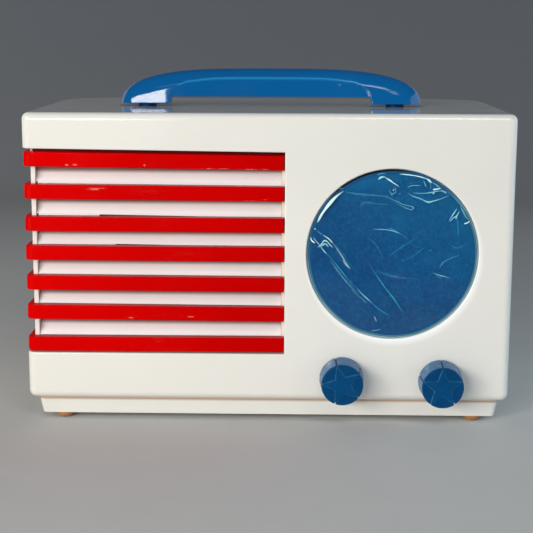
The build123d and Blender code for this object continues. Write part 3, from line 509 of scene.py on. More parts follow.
FINISHES = {
    "ivory_case": IVORY, "red_bars": RED, "white_slats": WHITE, "blue_handle": HANDLE_BLUE,
    "blue_knobs": KNOB_BLUE, "dial_blue": DIAL, "clear_lens": LENS, "clear_film": FILM,
    "foot_rubber": RUBBER, "plated_steel": STEEL, "screw_steel": NICKEL, "brass_parts": BRASS,
    "aluminium_plates": ALUMINIUM, "aluminium_can": ALUMINIUM, "black_enamel": BLACK,
    "grey_enamel": GREY, "brown_resin": BROWN, "valve_glass": VALVE_GLASS, "lamp_glass": VALVE_GLASS,
    "cone_paper": PAPER, "pressed_board": BOARD, "grille_fabric": GRILLE_CLOTH, "winding": WINDING,
    "cord_fabric": CORD, "core_steel": IRON,
}
# Own copies: the frame carries painted shade over the top bar, the spacers a darker blue as painted shade.
OWN_FINISHES = {"grille_frame": FRAME_IVORY, "handle_spacers": SPACER_BLUE_SHADED}


def paint_nodes():
    """Gives each CAD node its own finish or that of its slot."""
    for part in frame["record"]["subparts"]:
        slots = nodes[part["node"]].data.materials
        slots.clear()
        slots.append(OWN_FINISHES.get(part["node"], FINISHES[part["material_slot"]]))


paint_nodes()


# ---------------------------------------------------------------- meshes

def make_piece(name, points, faces, material):
    mesh = bpy.data.meshes.new(name)
    mesh.from_pydata([tuple(p) for p in points], [], faces)
    mesh.update()
    mesh.materials.append(material)
    for face in mesh.polygons:
        face.use_smooth = True
    piece = bpy.data.objects.new(name, mesh)
    bpy.context.scene.collection.objects.link(piece)
    return piece


def keep_values(piece, **values):
    """Stores a number for each point of the mesh, for its material."""
    for name, numbers in values.items():
        layer = piece.data.attributes.new(name, "FLOAT", "POINT")
        layer.data.foreach_set("value", np.array(numbers, dtype=np.float32))


def tidy_mesh(piece, sharp_angle):
    """Joins points that fall together, drops empty faces, turns faces outwards, keeps hard edges."""
    work = bmesh.new()
    work.from_mesh(piece.data)
    bmesh.ops.remove_doubles(work, verts=work.verts, dist=0.00001)
    bmesh.ops.dissolve_degenerate(work, edges=work.edges, dist=0.000005)
    bmesh.ops.recalc_face_normals(work, faces=work.faces)
    work.to_mesh(piece.data)
    work.free()
    for face in piece.data.polygons:
        face.use_smooth = True
    piece.data.set_sharp_from_angle(angle=math.radians(sharp_angle))


def ring_faces(rings, count):
    """Quads between closed rings of count points each, one after another."""
    faces = []
    for k in range(rings - 1):
        for j in range(count):
            a = k * count + j
            b = k * count + (j + 1) % count
            faces.append((a, b, b + count, a + count))
    return faces


def ease(t):
    t = min(max(t, 0.0), 1.0)
    return t * t * (3 - 2 * t)


# Knobs: a tapered drum with five rim notches and a raised star that reaches them.
KNOB_TURN = {"volume_knob": 16.0, "tuning_knob": 0.5}
KNOB_SPOKES = 720
KNOB_TIPS = 5
BACK_RINGS = 6
BACK_RIM_RINGS = 4
SIDE_RINGS = 12
RIM_RINGS = 9
FACE_RINGS = 80
NOTCH_DEEP = 1.15 * MM
NOTCH_HALF = 0.42 * MM
STAR_H = 0.6 * MM
STAR_INNER = 0.42
STAR_SLOPE = 0.28 * MM
STAR_PAINT_SLOPE = 0.95 * MM
RIM_R = 1.2 * MM
BACK_RIM_R = 0.4 * MM
KNOB_TAPER = 0.8 * MM


def knob_profile(radius, length):
    """Rings from the back centre to the front centre: radius, height, notch share, relief share."""
    front = radius - KNOB_TAPER
    rings = [(radius * k / BACK_RINGS, 0.0, 0.0, 0.0) for k in range(1, BACK_RINGS)]
    for k in range(BACK_RIM_RINGS + 1):
        turn = math.pi / 2 * k / BACK_RIM_RINGS
        out = radius - BACK_RIM_R + BACK_RIM_R * math.sin(turn)
        rings.append((out, BACK_RIM_R * (1 - math.cos(turn)), 1.0, 0.0))
    top = length - RIM_R
    for k in range(1, SIDE_RINGS + 1):
        share = k / SIDE_RINGS
        rings.append((radius + (front - radius) * share, BACK_RIM_R + (top - BACK_RIM_R) * share, 1.0, 0.0))
    for k in range(1, RIM_RINGS + 1):
        turn = math.pi / 2 * k / RIM_RINGS
        out = front - RIM_R * (1 - math.cos(turn))
        rings.append((out, top + RIM_R * math.sin(turn), 1.0, k / RIM_RINGS))
    for k in range(1, FACE_RINGS):
        rings.append(((front - RIM_R) * (1 - k / FACE_RINGS), length, 1.0, 1.0))
    return rings, front


def star_inside(x, z, tip, slope):
    """1 on the star, 0 off it, with a slope of that width between."""
    wedge = math.pi / KNOB_TIPS
    angle = np.mod(np.arctan2(z, x) - math.pi / 2 + wedge, 2 * wedge) - wedge
    radius = np.hypot(x, z)
    px, pz = radius * np.cos(angle), radius * np.abs(np.sin(angle))
    corner = (tip * STAR_INNER * math.cos(wedge), tip * STAR_INNER * math.sin(wedge))
    along = np.array([corner[0] - tip, corner[1]])
    along /= np.linalg.norm(along)
    outward = (px - tip) * along[1] - pz * along[0]
    share = np.clip(0.5 - outward / slope, 0, 1)
    return share * share * (3 - 2 * share)


def build_knob(node):
    low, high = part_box(node)
    centre = (low + high) / 2
    radius = (high.z - low.z) / 2
    length = high.y - low.y
    rings, front = knob_profile(radius, length)
    turn = np.arange(KNOB_SPOKES) * 2 * math.pi / KNOB_SPOKES
    wedge = 2 * math.pi / KNOB_TIPS
    off = (np.mod(turn - math.pi / 2 + wedge / 2, wedge) - wedge / 2) * radius
    notch = NOTCH_DEEP * np.exp(-(off / NOTCH_HALF) ** 4)
    spin = math.radians(KNOB_TURN[node])
    placed, side, edge, hollow = [], [], [], []
    for out, height, notched, relief in rings:
        if height < BACK_RIM_R:
            reach = out - notch * (out / radius) ** 8
        elif relief == 1.0:
            reach = out * (1 - notch / front)
        else:
            reach = out - notch * notched
        x, z = reach * np.cos(turn), reach * np.sin(turn)
        star = star_inside(x, z, front, STAR_SLOPE)
        y = height - STAR_H * (1 - star) * relief
        placed.append(np.stack([x, y + np.zeros_like(x), z], 1))
        # Painted sheen on the drum's side, painted highlights along the star's edges, and darker hollows.
        wide = star_inside(x, z, front, STAR_PAINT_SLOPE)
        side.append(np.full_like(x, notched * (1 - ease(relief * 2))))
        edge.append(4 * wide * (1 - wide) * ease(relief * 2 - 1))
        hollow.append((1 - wide) * ease(relief * 2 - 1))
    local = np.concatenate([np.zeros((1, 3)), *placed, np.array([[0.0, length, 0.0]])])
    x = local[:, 0] * math.cos(spin) - local[:, 2] * math.sin(spin)
    z = local[:, 0] * math.sin(spin) + local[:, 2] * math.cos(spin)
    points = np.stack([centre.x + x, high.y - local[:, 1], centre.z + z], 1)
    faces = []
    for a, b, c, d in ring_faces(len(rings), KNOB_SPOKES):
        faces.append((b + 1, c + 1, d + 1, a + 1))
    last = len(points) - 1
    start = 1 + (len(rings) - 1) * KNOB_SPOKES
    for j in range(KNOB_SPOKES):
        k = (j + 1) % KNOB_SPOKES
        faces.append((0, 1 + j, 1 + k))
        faces.append((last, start + k, start + j))
    piece = make_piece(node + "_shell", points, faces, KNOB_BLUE)
    for name, rows in (("side", side), ("edge", edge), ("hollow", hollow)):
        keep_values(piece, **{name: np.concatenate([[0.0], *rows, [0.0]])})
    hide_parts(node)
    return piece


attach(build_knob("volume_knob"), "volume_spindle")
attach(build_knob("tuning_knob"), "tuning_spindle")


# Creases of the film, in shares of its radius from its centre: points, half width in mm,
# strength of the painted highlight, and how cyan it looks.
CREASES = [
    # upper left: the long crescent and the fan of folds under it
    ([(-0.60, 0.765), (-0.70, 0.685), (-0.80, 0.565), (-0.86, 0.475), (-0.905, 0.385)], 0.95, 1.00, 0.0),
    ([(-0.58, 0.755), (-0.45, 0.735), (-0.28, 0.72), (-0.10, 0.705), (0.00, 0.665)], 0.70, 0.16, 0.8),
    ([(-0.40, 0.575), (-0.35, 0.63), (-0.22, 0.62), (-0.02, 0.60)], 0.50, 0.16, 0.8),
    ([(-0.60, 0.79), (-0.66, 0.80), (-0.72, 0.745)], 0.45, 0.35, 0.7),
    ([(-0.94, 0.315), (-0.925, 0.30)], 0.45, 0.75, 0.2),
    ([(-0.93, 0.305), (-0.88, 0.265), (-0.84, 0.235)], 0.22, 0.35, 0.6),
    ([(-0.84, 0.235), (-0.775, 0.195), (-0.715, 0.135)], 0.38, 0.80, 0.1),
    ([(-0.73, 0.15), (-0.66, 0.06), (-0.58, -0.06), (-0.50, -0.18)], 0.50, 0.32, 0.2),
    ([(-0.60, -0.06), (-0.55, -0.13), (-0.50, -0.18)], 0.42, 0.42, 0.1),
    ([(-0.70, 0.14), (-0.60, 0.02), (-0.53, -0.08), (-0.47, -0.17)], 0.26, 0.25, 1.0),
    ([(-0.985, 0.205), (-0.97, 0.165), (-0.93, 0.135)], 0.50, 0.98, 0.0),
    ([(-0.955, 0.205), (-0.91, 0.15), (-0.87, 0.105)], 0.30, 0.70, 0.2),
    ([(-0.90, 0.085), (-0.86, 0.12), (-0.82, 0.165), (-0.785, 0.155), (-0.75, 0.115), (-0.715, 0.08)],
     0.42, 0.88, 0.35),
    ([(-0.89, 0.085), (-0.84, 0.115), (-0.80, 0.125), (-0.77, 0.085)], 0.75, 0.66, 0.6),
    ([(-0.87, 0.105), (-0.83, 0.05), (-0.79, 0.005)], 0.34, 0.66, 0.2),
    ([(-0.80, 0.02), (-0.71, -0.08), (-0.62, -0.19), (-0.52, -0.31), (-0.41, -0.42)], 0.42, 0.34, 1.0),
    ([(-0.62, -0.20), (-0.53, -0.33), (-0.44, -0.43), (-0.36, -0.50)], 0.24, 0.30, 1.0),
    ([(-0.76, -0.06), (-0.66, -0.19), (-0.55, -0.33), (-0.43, -0.47)], 0.40, 0.17, 0.3),
    ([(-0.72, -0.10), (-0.60, -0.28), (-0.47, -0.43)], 0.22, 0.20, 0.5),
    ([(-0.42, -0.41), (-0.36, -0.48), (-0.29, -0.545), (-0.22, -0.605)], 0.40, 0.62, 0.7),
    ([(-0.24, -0.59), (-0.16, -0.66), (-0.08, -0.715), (-0.02, -0.75)], 0.55, 0.26, 1.0),
    ([(-0.48, -0.44), (-0.38, -0.52), (-0.27, -0.62)], 0.45, 0.12, 0.3),
    # middle and lower part
    ([(-0.28, -0.09), (-0.21, -0.22), (-0.13, -0.33), (-0.05, -0.44)], 0.42, 0.24, 1.0),
    ([(-0.19, -0.25), (-0.10, -0.38), (0.00, -0.51), (0.09, -0.63), (0.18, -0.755)], 0.34, 0.34, 1.0),
    ([(-0.08, -0.40), (0.02, -0.52), (0.08, -0.60)], 0.24, 0.36, 1.0),
    ([(-0.205, -0.755), (-0.175, -0.83)], 0.36, 0.36, 0.1),
    ([(-0.24, -0.94), (-0.18, -0.935), (-0.12, -0.915)], 0.42, 0.24, 0.4),
    ([(-0.24, 0.31), (-0.10, 0.305), (0.00, 0.29), (0.085, 0.255)], 0.40, 0.62, 0.7),
    ([(-0.10, 0.335), (0.00, 0.31), (0.10, 0.25), (0.18, 0.20)], 0.28, 0.34, 0.9),
    ([(-0.32, 0.23), (-0.20, 0.12), (-0.12, -0.02)], 0.60, 0.10, 1.0),
    ([(-0.05, -0.02), (0.12, 0.10), (0.30, 0.22)], 0.80, 0.09, 1.0),
    ([(0.04, -0.10), (0.24, -0.02), (0.42, 0.12)], 0.80, 0.08, 1.0),
    ([(-0.22, -0.18), (0.04, -0.27), (0.30, -0.29)], 0.80, 0.10, 0.9),
    # upper right: the tangle of short folds
    ([(-0.21, 0.955), (-0.15, 0.98), (-0.09, 0.975)], 0.36, 0.45, 0.9),
    ([(-0.19, 0.905), (-0.15, 0.935), (-0.10, 0.94)], 0.62, 0.86, 0.5),
    ([(-0.12, 0.94), (-0.05, 0.90), (0.00, 0.865), (0.06, 0.825)], 0.42, 0.98, 0.1),
    ([(-0.04, 0.80), (-0.05, 0.765), (-0.02, 0.735), (0.02, 0.755), (0.02, 0.80), (-0.02, 0.815)],
     0.26, 0.48, 0.6),
    ([(-0.01, 0.785), (0.005, 0.78)], 0.40, 0.85, 0.1),
    ([(-0.03, 0.73), (-0.01, 0.715)], 0.36, 0.40, 0.7),
    ([(0.065, 0.735), (0.08, 0.74)], 0.36, 0.60, 0.7),
    ([(0.06, 0.975), (0.18, 0.965), (0.30, 0.945), (0.40, 0.915)], 0.40, 0.98, 0.1),
    ([(0.38, 0.925), (0.41, 0.905), (0.45, 0.87)], 0.55, 0.98, 0.1),
    ([(0.44, 0.88), (0.50, 0.85), (0.56, 0.80)], 0.36, 0.55, 0.7),
    ([(0.35, 0.895), (0.37, 0.86), (0.385, 0.82)], 0.34, 0.50, 0.6),
    ([(0.42, 0.88), (0.44, 0.84), (0.43, 0.80)], 0.34, 0.30, 0.8),
    ([(0.16, 0.81), (0.21, 0.835), (0.32, 0.84)], 0.32, 0.60, 0.7),
    ([(0.465, 0.79), (0.50, 0.795), (0.56, 0.805)], 0.55, 1.00, 0.0),
    ([(0.22, 0.75), (0.34, 0.745), (0.44, 0.755), (0.54, 0.775), (0.60, 0.76)], 0.34, 0.66, 0.6),
    ([(0.46, 0.74), (0.49, 0.755)], 0.60, 0.62, 0.6),
    ([(0.55, 0.79), (0.60, 0.765), (0.63, 0.745)], 0.60, 0.50, 0.6),
    ([(0.16, 0.755), (0.22, 0.715), (0.32, 0.68), (0.41, 0.645), (0.50, 0.66), (0.60, 0.695), (0.66, 0.725)],
     0.36, 0.70, 0.6),
    ([(0.36, 0.655), (0.42, 0.640), (0.48, 0.650)], 0.50, 0.70, 0.5),
    ([(-0.09, 0.695), (0.02, 0.655), (0.12, 0.61), (0.22, 0.585), (0.24, 0.565), (0.20, 0.55), (0.10, 0.59),
      (0.00, 0.64)], 0.30, 0.56, 0.7),
    ([(0.62, 0.78), (0.72, 0.70), (0.82, 0.59), (0.88, 0.49)], 0.60, 0.20, 0.8),
    ([(0.76, 0.565), (0.71, 0.49), (0.665, 0.415)], 0.40, 0.76, 0.6),
    ([(0.79, 0.54), (0.755, 0.475), (0.72, 0.455), (0.675, 0.405)], 0.42, 0.80, 0.5),
    ([(0.76, 0.47), (0.745, 0.435)], 0.60, 0.70, 0.5),
    ([(0.79, 0.60), (0.83, 0.53), (0.87, 0.46), (0.905, 0.425)], 0.42, 0.55, 0.7),
    ([(0.915, 0.42), (0.89, 0.395), (0.845, 0.38)], 0.46, 0.98, 0.0),
    ([(0.77, 0.43), (0.775, 0.33), (0.785, 0.20)], 0.50, 0.14, 1.0),
    ([(0.70, 0.12), (0.78, 0.09), (0.88, 0.14)], 0.60, 0.14, 1.0),
    ([(0.80, 0.00), (0.70, -0.04), (0.61, -0.09), (0.57, -0.16)], 0.34, 0.36, 0.9),
    ([(0.48, -0.21), (0.56, -0.245), (0.64, -0.265), (0.705, -0.29)], 0.34, 0.62, 0.7),
    ([(0.52, -0.25), (0.60, -0.29)], 0.26, 0.26, 0.9),
    ([(0.44, 0.06), (0.47, 0.055)], 0.46, 0.28, 0.9),
]
FILM_STEP = 1.2 * MM
FILM_LIFT = 0.22 * MM
FILM_WAVE = 0.05 * MM
FILM_LOOSE = 0.15 * MM
FILM_EDGE = 1.5 * MM
FILM_GAP = 0.05 * MM
RIBBON_OFF = 0.02 * MM
RIBBON_STEPS = 7
ACROSS = ((-1.0, 0.0), (-0.6, 1.0), (0.0, 1.0), (0.6, 1.0), (1.0, 0.0))


def smooth_line(points):
    """Points along a smooth curve through the given ones."""
    ends = [points[0], *points, points[-1]]
    line = []
    for k in range(1, len(ends) - 2):
        a, b, c, d = (np.array(p) for p in ends[k - 1:k + 3])
        for j in range(RIBBON_STEPS):
            t = j / RIBBON_STEPS
            line.append(0.5 * (2 * b + (c - a) * t + (2 * a - 5 * b + 4 * c - d) * t * t
                               + (3 * b - a - 3 * c + d) * t ** 3))
    line.append(np.array(points[-1]))
    return np.array(line)


def film_height(x, z, radius):
    """How far the loose sheet stands off: slow waves, lying down at its rim."""
    wave = FILM_WAVE * (math.sin(x * 210 + 1.3 * math.sin(z * 160)) + math.sin(z * 250 + 2))
    rim = min(max((radius - math.hypot(x, z)) / FILM_EDGE, 0), 1)
    return (wave + FILM_LOOSE) * rim


def build_film():
    """Disc of film with a raised ribbon along each crease; the ribbon's painted highlight is kept on its
    points.
    """
    low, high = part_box("dial_film")
    centre = (low + high) / 2
    radius = (high.x - low.x) / 2
    points, faces, crease_highlights, tint = [], [], [], []

    def put(x, z, lift, highlight, cyan):
        y = high.y - FILM_GAP - film_height(x, z, radius) - lift
        points.append((centre.x + x, y, centre.z + z))
        crease_highlights.append(highlight)
        tint.append(cyan)

    rings = int(radius / FILM_STEP)
    spokes = 6 * rings
    put(0.0, 0.0, 0.0, 0.0, 0.0)
    for k in range(1, rings + 1):
        for j in range(spokes):
            turn = 2 * math.pi * j / spokes
            put(radius * k / rings * math.cos(turn), radius * k / rings * math.sin(turn), 0.0, 0.0, 0.0)
    faces.extend((0, 1 + (j + 1) % spokes, 1 + j) for j in range(spokes))
    faces.extend(tuple(i + 1 for i in face) for face in ring_faces(rings, spokes))
    for line_points, half, highlight_strength, cyan in CREASES:
        line = smooth_line(line_points) * radius
        run = np.gradient(line, axis=0)
        run /= np.maximum(np.hypot(*run.T), 1e-9)[:, None]
        start = len(points)
        last = len(line) - 1
        for k, (spot, way) in enumerate(zip(line, run)):
            swell = math.sin(math.pi * min(max(k / last, 0.03), 0.97)) ** 0.6
            uneven = 1 + 0.22 * math.sin(k * 1.7 + len(points))
            width = half * MM * swell * uneven
            for side, rise in ACROSS:
                x = spot[0] - way[1] * side * width
                z = spot[1] + way[0] * side * width
                put(x, z, RIBBON_OFF + FILM_LIFT * rise * swell, highlight_strength * rise * swell ** 0.5, cyan)
        count = len(ACROSS)
        for k in range(last):
            for j in range(count - 1):
                a = start + k * count + j
                faces.append((a, a + 1, a + count + 1, a + count))
    piece = make_piece("film_skin", points, faces, FILM)
    keep_values(piece, crease=crease_highlights, tint=tint)
    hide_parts("dial_film")
    return piece


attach(build_film(), "cabinet")


# Bevel round the edge of the lens: share of the radius, height in mm, paleness, which paints highlights on
# its ridges and shade in its grooves.
RIM_PROFILE = (
    (0.944, 0.01, 0.0), (0.966, 0.01, 0.0), (0.969, 0.06, 0.5), (0.973, 0.06, 0.5), (0.976, 0.02, 0.0),
    (0.981, 0.02, 0.0), (0.984, 0.20, 0.8), (0.990, 0.28, 1.0), (0.996, 0.22, 0.8), (1.000, 0.02, 0.2),
)
# Painted black shadow along the bevel's outer edge, on one arc at the top left.
RIM_SHADOW_FROM = 0.980
RIM_SHADOW_AT = math.radians(108)
RIM_SHADOW_REACH = math.radians(36)
RIM_SPOKES = 180
RIM_SHADE_AT = math.radians(112)


def lens_rim_paint():
    """Half clear bevel: painted pale green highlights, painted dial blue in its grooves and inner part, a
    painted black shadow on one arc.
    """
    paint = Paint("lens_rim")
    clouds = paint.noise(60, 3, 0.6)
    pale = paint.mix(paint.span(clouds, 0.35, 0.65), (0.130, 0.300, 0.300), (0.300, 0.500, 0.480))
    colour = paint.mix(paint.attribute("paleness"), (0.008, 0.074, 0.190), pale)
    colour = paint.mix(paint.attribute("line"), colour, (0.006, 0.005, 0.010))
    paint.set(base_color=colour, specular_ior_level=0.15)
    paint.set(roughness=paint.span(clouds, 0.3, 0.7, 0.18, 0.30))
    paint.bump(paint.noise(500), 0.00003, 0.3)
    passes_light(paint, (0.9, 0.95, 0.95))
    return paint.material


def build_lens_rim():
    low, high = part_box("dial_lens")
    centre = (low + high) / 2
    radius = (high.x - low.x) / 2
    points, paleness, line = [], [], []
    for share, lift, pale in RIM_PROFILE:
        for j in range(RIM_SPOKES):
            turn = 2 * math.pi * j / RIM_SPOKES
            x = centre.x + radius * share * math.cos(turn)
            z = centre.z + radius * share * math.sin(turn)
            points.append((x, low.y - lift * MM, z))
            # Painted light and shade: paler away from the shaded side, black along the shadow arc.
            lit_share = 0.5 - 0.5 * math.cos(turn - RIM_SHADE_AT)
            paleness.append(pale * (0.04 + 0.96 * ease(lit_share * 1.7 - 0.15)))
            beside = abs((turn - RIM_SHADOW_AT + math.pi) % (2 * math.pi) - math.pi)
            line.append(ease(2.2 * (1 - beside / RIM_SHADOW_REACH)) if share > RIM_SHADOW_FROM else 0.0)
    faces = [face[::-1] for face in ring_faces(len(RIM_PROFILE), RIM_SPOKES)]
    piece = make_piece("lens_rim", points, faces, lens_rim_paint())
    keep_values(piece, paleness=paleness, line=line)
    return piece


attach(build_lens_rim(), "cabinet")


# Handle: a domed bar on two feet, with a shallow arched recess on each side of the grip.
CROWN_ACROSS = 0.59
CROWN_UP = 0.87
CROWN_POINTS = 150
FINE_FROM = 52.0 * MM
FINE_TO = 66.0 * MM
FINE_STEP = 0.25 * MM
DOME_POINTS = 14
REST_POINTS = 5
FLAT_POINTS = 14
EDGE_POINTS = 4
DOME_DROP = 8.4 * MM
END_DROP = 6.8 * MM
DOME_FALL = 1.6
EDGE_HALF = 8.9 * MM
FOOT_FLARE = 0.6 * MM
FOOT_LOWER = 0.9 * MM
PLAN_TAPER = 1.3 * MM
TAPER_RUN = 30.0 * MM
END_X = 74.0 * MM
END_RUN = 17.0 * MM
RECESS = 1.25 * MM
RECESS_X = 54.0 * MM
RECESS_WIDE = 7.9 * MM
RECESS_TOP = 193.7 * MM
RECESS_SLOPE = 2.3 * MM
ARCH_BEND = 2.2
ARCH_CLOSE = 0.625
RECESS_FADE = 0.55
RECESS_FADE_X = 30.0 * MM
RECESS_FADE_RUN = 26.0 * MM
FOOT_INNER = 61.6 * MM
FOOT_LEAN = 1.2 * MM
GRIP_UNDER = 185.7 * MM
EDGE_ROUND = 0.55 * MM
CREST_REACH = 1.6
MEET_STEPS = 90
MEET_SLACK = 0.001 * MM


def crown_point(turn, low, high):
    """Point and inward normal of the flattened oval over the handle."""
    half = (high.x - low.x) / 2
    middle = (high.x + low.x) / 2

    def place(angle):
        across = math.cos(angle)
        x = middle - half * math.copysign(abs(across) ** CROWN_ACROSS, across)
        return Vector((x, low.z + (high.z - low.z) * max(math.sin(angle), 0.0) ** CROWN_UP))

    here = place(turn)
    step = 0.004
    run = place(min(turn + step, math.pi)) - place(max(turn - step, 0.0))
    run.normalize()
    return here, Vector((run.y, -run.x))


def recess_depth(x, z, foot_z):
    """How far the grip's side stands back at this place: full inside the arch, none on the feet."""
    share = min(max((z - foot_z) / (RECESS_TOP - foot_z), 0.0), 1.0)
    reach = RECESS_X + RECESS_WIDE * (1 - share ** ARCH_BEND) ** ARCH_CLOSE
    fade = 1 - RECESS_FADE * ease((abs(x) - RECESS_FADE_X) / RECESS_FADE_RUN)
    return RECESS * fade * ease((reach - abs(x)) / RECESS_SLOPE)


def plan_taper(x):
    """How much the half width narrows towards the ends, seen from above."""
    return PLAN_TAPER * ease((abs(x) - FOOT_INNER) / TAPER_RUN)


def side_half(x, z, foot_z):
    """Half width of the handle below its dome."""
    flare = FOOT_FLARE * min(max((RECESS_TOP - z) / (RECESS_TOP - foot_z), 0.0), 1.0)
    return EDGE_HALF + flare - plan_taper(x) - recess_depth(x, z, foot_z)


def handle_turns(half):
    """Angles along the crown, closer together at the inner ends of the feet."""
    last = CROWN_POINTS - 1
    turns = [math.pi * (0.5 - 0.5 * math.cos(math.pi * k / last)) for k in range(CROWN_POINTS)]
    steps = int((FINE_TO - FINE_FROM) / FINE_STEP)
    for k in range(steps):
        turn = math.acos(((FINE_FROM + k * FINE_STEP) / half) ** (1 / CROWN_ACROSS))
        turns += [turn, math.pi - turn]
    return sorted(turns)


def build_handle():
    """Its feet reach down over the tops of the spacers."""
    low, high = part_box("handle")
    low.z -= FOOT_LOWER
    mid_y = (high.y + low.y) / 2
    end = (high.x - low.x) / 2
    rings, crest = [], []
    for turn in handle_turns(end):
        crown, inward = crown_point(turn, low, high)
        drop = DOME_DROP + (END_DROP - DOME_DROP) * ease((abs(crown.x) - END_X) / END_RUN)

        def section(v):
            spot = crown + inward * drop * (1 - math.cos(v) ** DOME_FALL)
            spot.x = min(max(spot.x, low.x), high.x)
            spot.y = max(spot.y, low.z)
            dome = (EDGE_HALF - plan_taper(spot.x)) * math.sin(v)
            return spot, dome, min(dome, side_half(spot.x, spot.y, low.z))

        meet = math.pi / 2
        for k in range(1, MEET_STEPS + 1):
            spot, dome, kept = section(math.pi / 2 * k / MEET_STEPS)
            if kept < dome - MEET_SLACK:
                meet = math.pi / 2 * (k - 0.5) / MEET_STEPS
                break
        ring, crests = [], []
        for k in range(DOME_POINTS + REST_POINTS + 1):
            if k <= DOME_POINTS:
                v = meet * k / DOME_POINTS
            else:
                v = meet + (math.pi / 2 - meet) * (k - DOME_POINTS) / REST_POINTS
            spot, dome, kept = section(v)
            ring.append((spot.x, kept, spot.y))
            # Painted highlight along the crease over the grip.
            beside = abs(k - DOME_POINTS) / CREST_REACH
            crests.append(ease(1 - beside) if meet < math.pi / 2 else 0.0)
        edge_x, _, edge_z = ring[-1]
        lean = (abs(edge_x) - (FOOT_INNER - FOOT_LEAN)) / FOOT_LEAN
        floor_z = low.z + (GRIP_UNDER - low.z) * (1 - ease(lean))
        floor_z = min(floor_z, edge_z)
        round_by = min(EDGE_ROUND, (edge_z - floor_z) * 0.5)
        for k in range(1, FLAT_POINTS + 1):
            z = edge_z + (floor_z + round_by - edge_z) * k / FLAT_POINTS
            ring.append((edge_x, side_half(edge_x, z, low.z), z))
        wide = ring[-1][1]
        for k in range(1, EDGE_POINTS + 1):
            v = math.pi / 2 * k / EDGE_POINTS
            out = wide - EDGE_ROUND * (1 - math.cos(v))
            ring.append((edge_x, out, floor_z + round_by * (1 - math.sin(v))))
        ring.append((edge_x, 0.0, floor_z))
        rings.append(ring)
        crests += [0.0] * (len(ring) - len(crests))
        crest.extend(crests + crests[-2:0:-1])
    count = len(rings[0])
    points = []
    for ring in rings:
        points.extend((x, mid_y - out, z) for x, out, z in ring)
        points.extend((x, mid_y + out, z) for x, out, z in reversed(ring[1:-1]))
    around = 2 * count - 2
    faces = ring_faces(len(rings), around)
    for start in (0, (len(rings) - 1) * around):
        for k in range(count - 1):
            ahead, behind = (around - k - 1) % around, (around - k) % around
            loop = (start + k, start + k + 1, start + ahead, start + behind)
            cap = [p for j, p in enumerate(loop) if p not in loop[:j]]
            if len(cap) > 2:
                faces.append(tuple(cap))
    piece = make_piece("handle_shell", points, faces, HANDLE_BLUE)
    keep_values(piece, crest=crest)
    tidy_mesh(piece, 40)
    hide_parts("handle")
    return piece


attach(build_handle(), "cabinet")


# ---------------------------------------------------------------- floor, light, camera

FLOOR_HALF_W = 1.6
FLOOR_FRONT = -1.1
FLOOR_BACK = 0.9
BACKDROP_R = 0.35
BACKDROP_H = 1.2
BACKDROP_STEPS = 12
FADE_FROM = 0.15


def build_floor():
    """Pale floor that curves up into a darker grey backdrop."""
    profile = [(FLOOR_FRONT, 0.0), (FLOOR_BACK, 0.0)]
    for k in range(1, BACKDROP_STEPS + 1):
        turn = math.pi / 2 * k / BACKDROP_STEPS
        profile.append((FLOOR_BACK + BACKDROP_R * math.sin(turn), BACKDROP_R * (1 - math.cos(turn))))
    profile.append((FLOOR_BACK + BACKDROP_R, BACKDROP_H))
    points = [(side * FLOOR_HALF_W, y, z) for y, z in profile for side in (-1, 1)]
    faces = [(2 * k, 2 * k + 1, 2 * k + 3, 2 * k + 2) for k in range(len(profile) - 1)]
    paint = Paint("pale_floor")
    grain = paint.noise(40, 4, 0.6)
    far = paint.span(paint.along("Y"), FADE_FROM, FLOOR_BACK + BACKDROP_R)
    pale = paint.mix(grain, (0.56, 0.56, 0.55), (0.60, 0.60, 0.59))
    paint.set(base_color=paint.mix(far, pale, (0.17, 0.18, 0.20)))
    paint.set(roughness=paint.span(grain, 0.3, 0.7, 0.62, 0.74), specular_ior_level=0.25)
    floor = make_piece("floor", points, faces, paint.material)


def soft_light(name, place, target, size, watts, colour):
    data = bpy.data.lights.new(name, "AREA")
    data.shape = "RECTANGLE"
    data.size, data.size_y = size
    data.energy = watts
    data.color = colour
    lamp = bpy.data.objects.new(name, data)
    lamp.location = place
    lamp.rotation_euler = (Vector(target) - Vector(place)).to_track_quat("-Z", "Y").to_euler()
    bpy.context.scene.collection.objects.link(lamp)


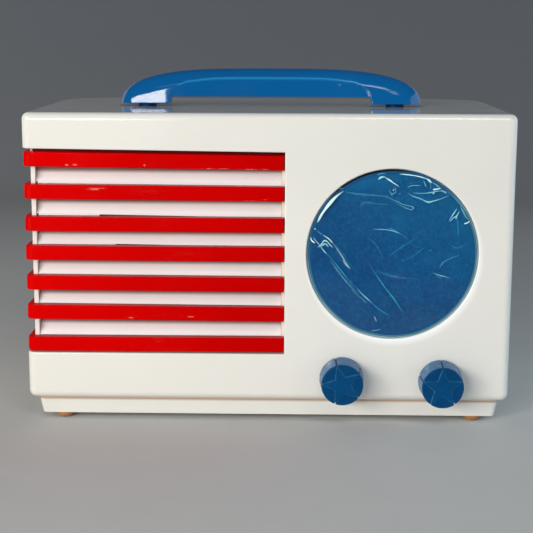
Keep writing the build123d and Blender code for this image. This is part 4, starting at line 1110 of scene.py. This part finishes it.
def build_lights():
    """Warm key from the left, cooler light from the right, two from behind, small ones for glints."""
    middle = (0.0, 0.0, 0.1)
    soft_light("key", (-1.05, -1.30, 0.55), middle, (0.85, 0.50), 15.8, (1.0, 0.98, 0.945))
    soft_light("fill", (1.1, -0.9, 0.35), middle, (0.8, 0.6), 2.1, (0.84, 0.92, 1.0))
    soft_light("side_strip", (0.85, -0.05, 0.30), (0.13, 0.0, 0.1), (0.7, 0.7), 2.3, (0.60, 0.83, 1.0))
    soft_light("back_right", (1.0, 0.85, 0.45), middle, (1.2, 0.9), 2.5, (0.92, 0.96, 1.0))
    soft_light("back_left", (-1.0, 0.85, 0.45), middle, (1.2, 0.9), 2.5, (1.0, 0.98, 0.95))
    soft_light("low_left", (-0.50, -0.55, 0.04), (-0.10, -0.06, 0.03), (0.4, 0.05), 0.6, (1.0, 0.86, 0.66))
    soft_light("left_glint", (-0.356, -1.227, 0.307), (-0.075, 0.0, 0.187), (0.26, 0.22), 3.4,
               (1.0, 0.97, 0.90))
    soft_light("right_glint", (0.30, -0.946, 0.912), (0.07, 0.0, 0.19), (0.40, 0.28), 1.9, (0.95, 0.98, 1.0))
    soft_light("crest_strip", (-0.05, -0.95, 0.95), (0.0, 0.0, 0.19), (0.9, 0.20), 0.5, (0.70, 0.88, 1.0))
    world = bpy.data.worlds.new("studio")
    world.use_nodes = True
    world.node_tree.nodes["Background"].inputs["Color"].default_value = (0.80, 0.86, 0.92, 1)
    world.node_tree.nodes["Background"].inputs["Strength"].default_value = 0.08
    bpy.context.scene.world = world


CAMERA_AT = (13.83 * MM, -801.44 * MM, 227.8 * MM)
CAMERA_PITCH = -0.1828
CAMERA_YAW = 0.0202
CAMERA_ROLL = -0.0035
CAMERA_LENS = 87.73


def build_camera():
    """Looks at the front from slightly above and to the right."""
    data = bpy.data.cameras.new("camera")
    data.sensor_width = 36.0
    data.lens = CAMERA_LENS
    camera = bpy.data.objects.new("camera", data)
    camera.location = CAMERA_AT
    yaw = Euler((0, 0, CAMERA_YAW)).to_matrix()
    pitch = Euler((CAMERA_PITCH, 0, 0)).to_matrix()
    roll = Euler((0, CAMERA_ROLL, 0)).to_matrix()
    upright = Euler((math.pi / 2, 0, 0)).to_matrix()
    camera.rotation_euler = (yaw @ pitch @ roll @ upright).to_euler()
    bpy.context.scene.collection.objects.link(camera)
    bpy.context.scene.camera = camera


build_floor()
build_lights()
build_camera()
scene = bpy.context.scene
scene.view_settings.view_transform = "Standard"
scene.cycles.use_denoising = True
